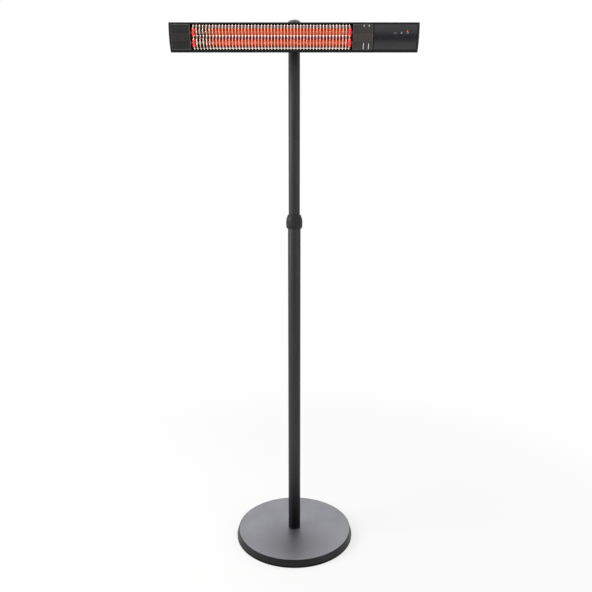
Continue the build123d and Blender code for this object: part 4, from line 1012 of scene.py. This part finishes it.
for side, outward in (("upper", 1), ("lower", -1)):
    makeTrough(side + "Trough", side + "_reflector", troughMiddles[side], outward)
    makeLamp(side + "Lamp", side + "_lamp_tube", troughMiddles[side])
print("patio heater: lamps and troughs")

# grille: bent wires across the opening, welded to three rods

grille = {
    "pitch": 0.0113,
    "wireRadius": 0.0017,
    "rodRadius": 0.0012,
    "margin": 0.0025,
    "endDepth": -0.002,
    "hook": 0.003,
    "humpDepth": -0.015,
    "shoulderDrop": 0.0085,
    "valleyHeight": 0.0060,
    "valleyDepth": -0.0015,
    "valleySpread": 0.00675,
    "hookBend": 0.002,
    "humpBend": 0.014,
    "valleyBend": 0.003,
    "rodDepths": (0.0, -0.0026, 0.0),
    "weld": 0.0003,
    "sides": 10,
}


def makeGrille():
    low, high = box("front_grille")
    radius = grille["wireRadius"]
    first = low.x + radius
    last = high.x - radius
    count = round((last - first) / grille["pitch"]) + 1
    top = openingTop - grille["margin"]
    bottom = openingBottom + grille["margin"]
    middle = grille["valleyHeight"]
    end = grille["endDepth"]
    hump = grille["humpDepth"]
    bend = grille["humpBend"]
    corners = [
        (end + grille["hook"], top),
        (end, top, grille["hookBend"]),
        (hump, top - grille["shoulderDrop"], bend),
        (hump, middle + grille["valleySpread"], bend),
        (grille["valleyDepth"], middle, grille["valleyBend"]),
        (hump, middle - grille["valleySpread"], bend),
        (hump, bottom + grille["shoulderDrop"], bend),
        (end, bottom, grille["hookBend"]),
        (end + grille["hook"], bottom),
    ]
    line = softened(corners, steps=10, closed=False)
    mesh = bmesh.new()
    for wire in range(count):
        x = first + (last - first) * wire / (count - 1)
        bar(mesh, [(x, depth, height) for depth, height in line], radius, grille["sides"])
    addHeadPiece("frontGrille", mesh, "chrome_wire", paintedGlowWire, "front_grille", sharpAngle=50)

    mesh = bmesh.new()
    rod = grille["rodRadius"]
    step = radius + rod - grille["weld"]
    for depth, height in zip(grille["rodDepths"], (top - step, middle, bottom + step)):
        bar(mesh, [(low.x, depth, height), (high.x, depth, height)], rod, grille["sides"])
    addHeadPiece("grilleRods", mesh, "chrome_wire", paintedGlowRod, sharpAngle=50)
    print("patio heater: grille,", count, "wires")


makeGrille()

# covers beside the glowing part, with their raised bands and the spring clips

covers = {
    "gap": 0.0004,
    "recess": 0.0006,
    "frame": 0.0016,
    "plate": 0.002,
    "bandTop": 0.0154,
    "bandBottom": -0.013,
    "bandRise": 0.0009,
    "rounding": 0.00025,
}
clips = {
    "offsets": (0.038, 0.056),
    "width": 0.0023,
    "rise": 0.0014,
    "margin": 0.0021,
    "lowerLength": 0.019,
    "upperLength": 0.006,
    "rounding": 0.0004,
}


def makeCover(side):
    node = side + "_terminal_cover"
    low, high = box(node)
    top = openingTop - covers["gap"]
    foot = openingBottom + covers["gap"]
    frameWidth = covers["frame"]
    floorInset = covers["recess"] + frameWidth / 2
    backInset = floorInset + covers["plate"]
    rounding = covers["rounding"]
    mesh = bmesh.new()
    plate = bowedStrip(top - frameWidth / 2, foot + frameWidth / 2, floorInset, backInset)
    prism(mesh, plate, acrossHead, low.x + frameWidth / 2, high.x - frameWidth / 2)
    addHeadPiece(side + "Cover", mesh, "black_plastic", coverPlastic, node)

    mesh = bmesh.new()
    for edgeTop, edgeFoot in ((top, top - frameWidth), (foot + frameWidth, foot)):
        strip = bowedStrip(edgeTop, edgeFoot, covers["recess"], backInset, steps=4)
        prism(mesh, strip, acrossHead, low.x, high.x, rounding)
    for start, end in ((low.x, low.x + frameWidth), (high.x - frameWidth, high.x)):
        strip = bowedStrip(top, foot, covers["recess"], backInset)
        prism(mesh, strip, acrossHead, start, end, rounding)
    addHeadPiece(side + "CoverFrame", mesh, "black_plastic", coverEdge)

    mesh = bmesh.new()
    bandInset = floorInset - covers["bandRise"]
    band = bowedStrip(covers["bandTop"], covers["bandBottom"], bandInset, floorInset + covers["plate"] / 2)
    prism(mesh, band, acrossHead, low.x + frameWidth, high.x - frameWidth, rounding)
    addHeadPiece(side + "CoverBand", mesh, "black_plastic", coverBand)


def makeClips():
    left = box("right_terminal_cover")[0].x
    top = openingTop - covers["gap"] - clips["margin"]
    foot = openingBottom + covers["gap"] + clips["margin"]
    seat = covers["recess"] + covers["frame"] / 2
    mesh = bmesh.new()
    for upper, lower in ((top, top - clips["upperLength"]), (foot + clips["lowerLength"], foot)):
        for offset in clips["offsets"]:
            start = left + offset - clips["width"] / 2
            strip = bowedStrip(upper, lower, seat - clips["rise"], seat, steps=12)
            prism(mesh, strip, acrossHead, start, start + clips["width"], clips["rounding"])
    addHeadPiece("coverClips", mesh, "chrome_wire", chromeClip, "cover_clips")


makeCover("left")
makeCover("right")
makeClips()
print("patio heater: covers")

# control panel symbols: power, heat and timer, drawn as raised lines on the key lenses

symbols = {
    "offsets": (0.0735, 0.095, 0.116),     # from the panel's left edge
    "height": 0.0148,
    "line": 0.00055,       # radius of the drawn line
    "lineSides": 6,
    "radius": 0.0033,
    "powerGap": 40.0,      # degrees left open at the ring's top, each side
    "powerStroke": (0.0004, 0.0036),
    "hands": (0.0018, 0.0014),      # length of the one that points up and of the one to the right
    "rays": 8,
    "sunRadius": 0.0015,
    "rayStart": 0.0026,
    "rayEnd": 0.0037,
}

symbolDim = Finish("symbolDim")
symbolDim.colours(tone(142, 143, 147), tone(154, 155, 159), 300.0).roughness(0.4, 0.5, 200.0)
symbolLit = Finish("symbolLit")
symbolLit.colours(tone(160, 163, 170), tone(172, 175, 182), 300.0).roughness(0.4, 0.5, 200.0)
symbolLit.set(Emission_Color=tone(214, 222, 244), Emission_Strength=0.3)
symbolGrey = Finish("symbolGrey")
symbolGrey.colours(tone(160, 160, 164), tone(172, 172, 176), 300.0).roughness(0.4, 0.5, 200.0)


def drawLine(mesh, middle, points):
    # thin line on the bowed face, from points beside the symbol's middle
    path = []
    for x, height in points:
        up = symbols["height"] + height
        path.append((middle + x, bow(up) + symbols["line"] / 2, up))
    bar(mesh, path, symbols["line"], symbols["lineSides"])


def ring(radius, start, end, steps=32):
    angles = [radians(start + (end - start) * step / steps) for step in range(steps + 1)]
    return [(radius * cos(angle), radius * sin(angle)) for angle in angles]


def powerSymbol(mesh, middle):
    gap = symbols["powerGap"]
    drawLine(mesh, middle, ring(symbols["radius"], 90 + gap, 450 - gap))
    drawLine(mesh, middle, [(0.0, height) for height in symbols["powerStroke"]])


def heatSymbol(mesh, middle):
    drawLine(mesh, middle, ring(symbols["sunRadius"], 0, 360))
    for ray in range(symbols["rays"]):
        angle = 2 * pi * ray / symbols["rays"]
        ends = (symbols["rayStart"], symbols["rayEnd"])
        drawLine(mesh, middle, [(reach * cos(angle), reach * sin(angle)) for reach in ends])


def timerSymbol(mesh, middle):
    drawLine(mesh, middle, ring(symbols["radius"], 0, 360))
    up, right = symbols["hands"]
    drawLine(mesh, middle, [(0.0, up), (0.0, 0.0)])
    drawLine(mesh, middle, [(0.0, 0.0), (right, 0.0)])


panelLeft = box("control_panel")[0].x
for name, draw, finish, offset in (
    ("powerSymbol", powerSymbol, symbolDim, symbols["offsets"][0]),
    ("heatSymbol", heatSymbol, symbolLit, symbols["offsets"][1]),
    ("timerSymbol", timerSymbol, symbolGrey, symbols["offsets"][2]),
):
    symbolMesh = bmesh.new()
    draw(symbolMesh, panelLeft + offset)
    addHeadPiece(name, symbolMesh, "key_lens", finish, sharpAngle=60)
print("patio heater: symbols")


# studio

studio = {
    "lens": 35.48,
    "sensor": 36.0,
    "cameraPlace": (0.0067, -2.277, 1.431),
    "cameraDrop": 10.1,             # degrees below level
    "worldLight": 0.55,
    "floorSize": 40.0,
    "floorWhite": (0.62, 1.0),      # share of the floor's look that is plain white, near and far
    "floorFade": (0.6, 2.2),        # distances from the mast between which that share rises
}

flag = {
    "place": -3.3,           # behind the camera
    "left": -5.0,
    "right": 5.0,
    "foot": 0.35,
    "top": 1.9,
    "glow": 0.10,
}

warmLight = (1.0, 0.94, 0.90)
coolLight = (0.95, 0.97, 1.0)
lamps = {
    "key": {"place": (-3.2, -0.9, 2.1), "size": 2.0, "power": 95.0, "colour": warmLight},
    "fill": {"place": (2.8, -2.2, 1.6), "size": 2.4, "power": 30.0, "colour": coolLight},
    "top": {"place": (0.0, 0.6, 4.2), "size": 2.6, "power": 40.0, "colour": coolLight},
}
lampAim = Vector((0.0, 0.0, 1.2))


def whiteForEyes(tree):
    # 1 for rays from the camera, from gloss and through glass, 0 for the light on the object
    path = tree.nodes.new("ShaderNodeLightPath")
    seen = path.outputs["Is Camera Ray"]
    for ray in ("Is Glossy Ray", "Is Transmission Ray"):
        seen = combined(tree, "MAXIMUM", seen, path.outputs[ray])
    return seen


def makeWorld():
    world = bpy.data.worlds.new("studioWorld")
    bpy.context.scene.world = world
    world.use_nodes = True
    tree = world.node_tree
    backdrop = tree.nodes["Background"]
    backdrop.inputs["Color"].default_value = white
    brightness = tree.nodes.new("ShaderNodeMapRange")
    brightness.inputs["To Min"].default_value = studio["worldLight"]
    brightness.inputs["To Max"].default_value = 1.0
    tree.links.new(whiteForEyes(tree), brightness.inputs["Value"])
    tree.links.new(brightness.outputs["Result"], backdrop.inputs["Strength"])


def addSheet(name, corners, finish):
    # flat sheet of the studio
    mesh = bmesh.new()
    mesh.faces.new([mesh.verts.new(corner) for corner in corners])
    made = finishMesh(name, mesh)
    sheet = bpy.data.objects.new(name, made)
    bpy.context.scene.collection.objects.link(sheet)
    made.materials.append(finish.material)
    return sheet


def makeFloor():
    paper = Finish("paper", rough=0.95, level=0.1)
    paper.set(Base_Color=(0.9, 0.9, 0.9, 1.0))
    rise = paper.spread(paper.away((0.0, 0.0, 0.0)), *studio["floorFade"], *studio["floorWhite"], soft=True)
    share = combined(paper.tree, "MULTIPLY", whiteForEyes(paper.tree), rise)
    plainWhite = paper.nodes.new("ShaderNodeEmission")
    blend = paper.nodes.new("ShaderNodeMixShader")
    paper.links.new(share, blend.inputs["Fac"])
    paper.links.new(paper.shader.outputs["BSDF"], blend.inputs[1])
    paper.links.new(plainWhite.outputs["Emission"], blend.inputs[2])
    paper.links.new(blend.outputs["Shader"], paper.nodes["Material Output"].inputs["Surface"])
    half = studio["floorSize"] / 2
    corners = [(-half, -half), (half, -half), (half, half), (-half, half)]
    addSheet("floor", [(x, y, 0.0) for x, y in corners], paper)


def makeFlag():
    # dark wall before the heater, unseen itself, which only shows in the gloss of its faces
    cloth = Finish("cloth", rough=0.95, level=0.0)
    cloth.set(Base_Color=(0.02, 0.02, 0.02, 1.0), Emission_Color=white, Emission_Strength=flag["glow"])
    corners = [(flag["left"], flag["foot"]), (flag["right"], flag["foot"])]
    corners += [(flag["right"], flag["top"]), (flag["left"], flag["top"])]
    wall = addSheet("flag", [(x, flag["place"], z) for x, z in corners], cloth)
    wall.visible_camera = False


def makeLights():
    for name, lamp in lamps.items():
        light = bpy.data.lights.new(name, "AREA")
        light.shape = "DISK"
        light.size = lamp["size"]
        light.energy = lamp["power"]
        light.color = lamp["colour"]
        holder = bpy.data.objects.new(name, light)
        holder.location = lamp["place"]
        heading = lampAim - Vector(lamp["place"])
        holder.rotation_euler = heading.to_track_quat("-Z", "Y").to_euler()
        bpy.context.scene.collection.objects.link(holder)


def makeCamera():
    camera = bpy.data.cameras.new("camera")
    camera.lens = studio["lens"]
    camera.sensor_width = studio["sensor"]
    holder = bpy.data.objects.new("camera", camera)
    holder.location = studio["cameraPlace"]
    holder.rotation_euler = (radians(90 - studio["cameraDrop"]), 0.0, 0.0)
    bpy.context.scene.collection.objects.link(holder)
    bpy.context.scene.camera = holder


makeWorld()
makeFloor()
makeFlag()
makeLights()
makeCamera()
bpy.context.scene.view_settings.view_transform = "Standard"
print("patio heater: studio")
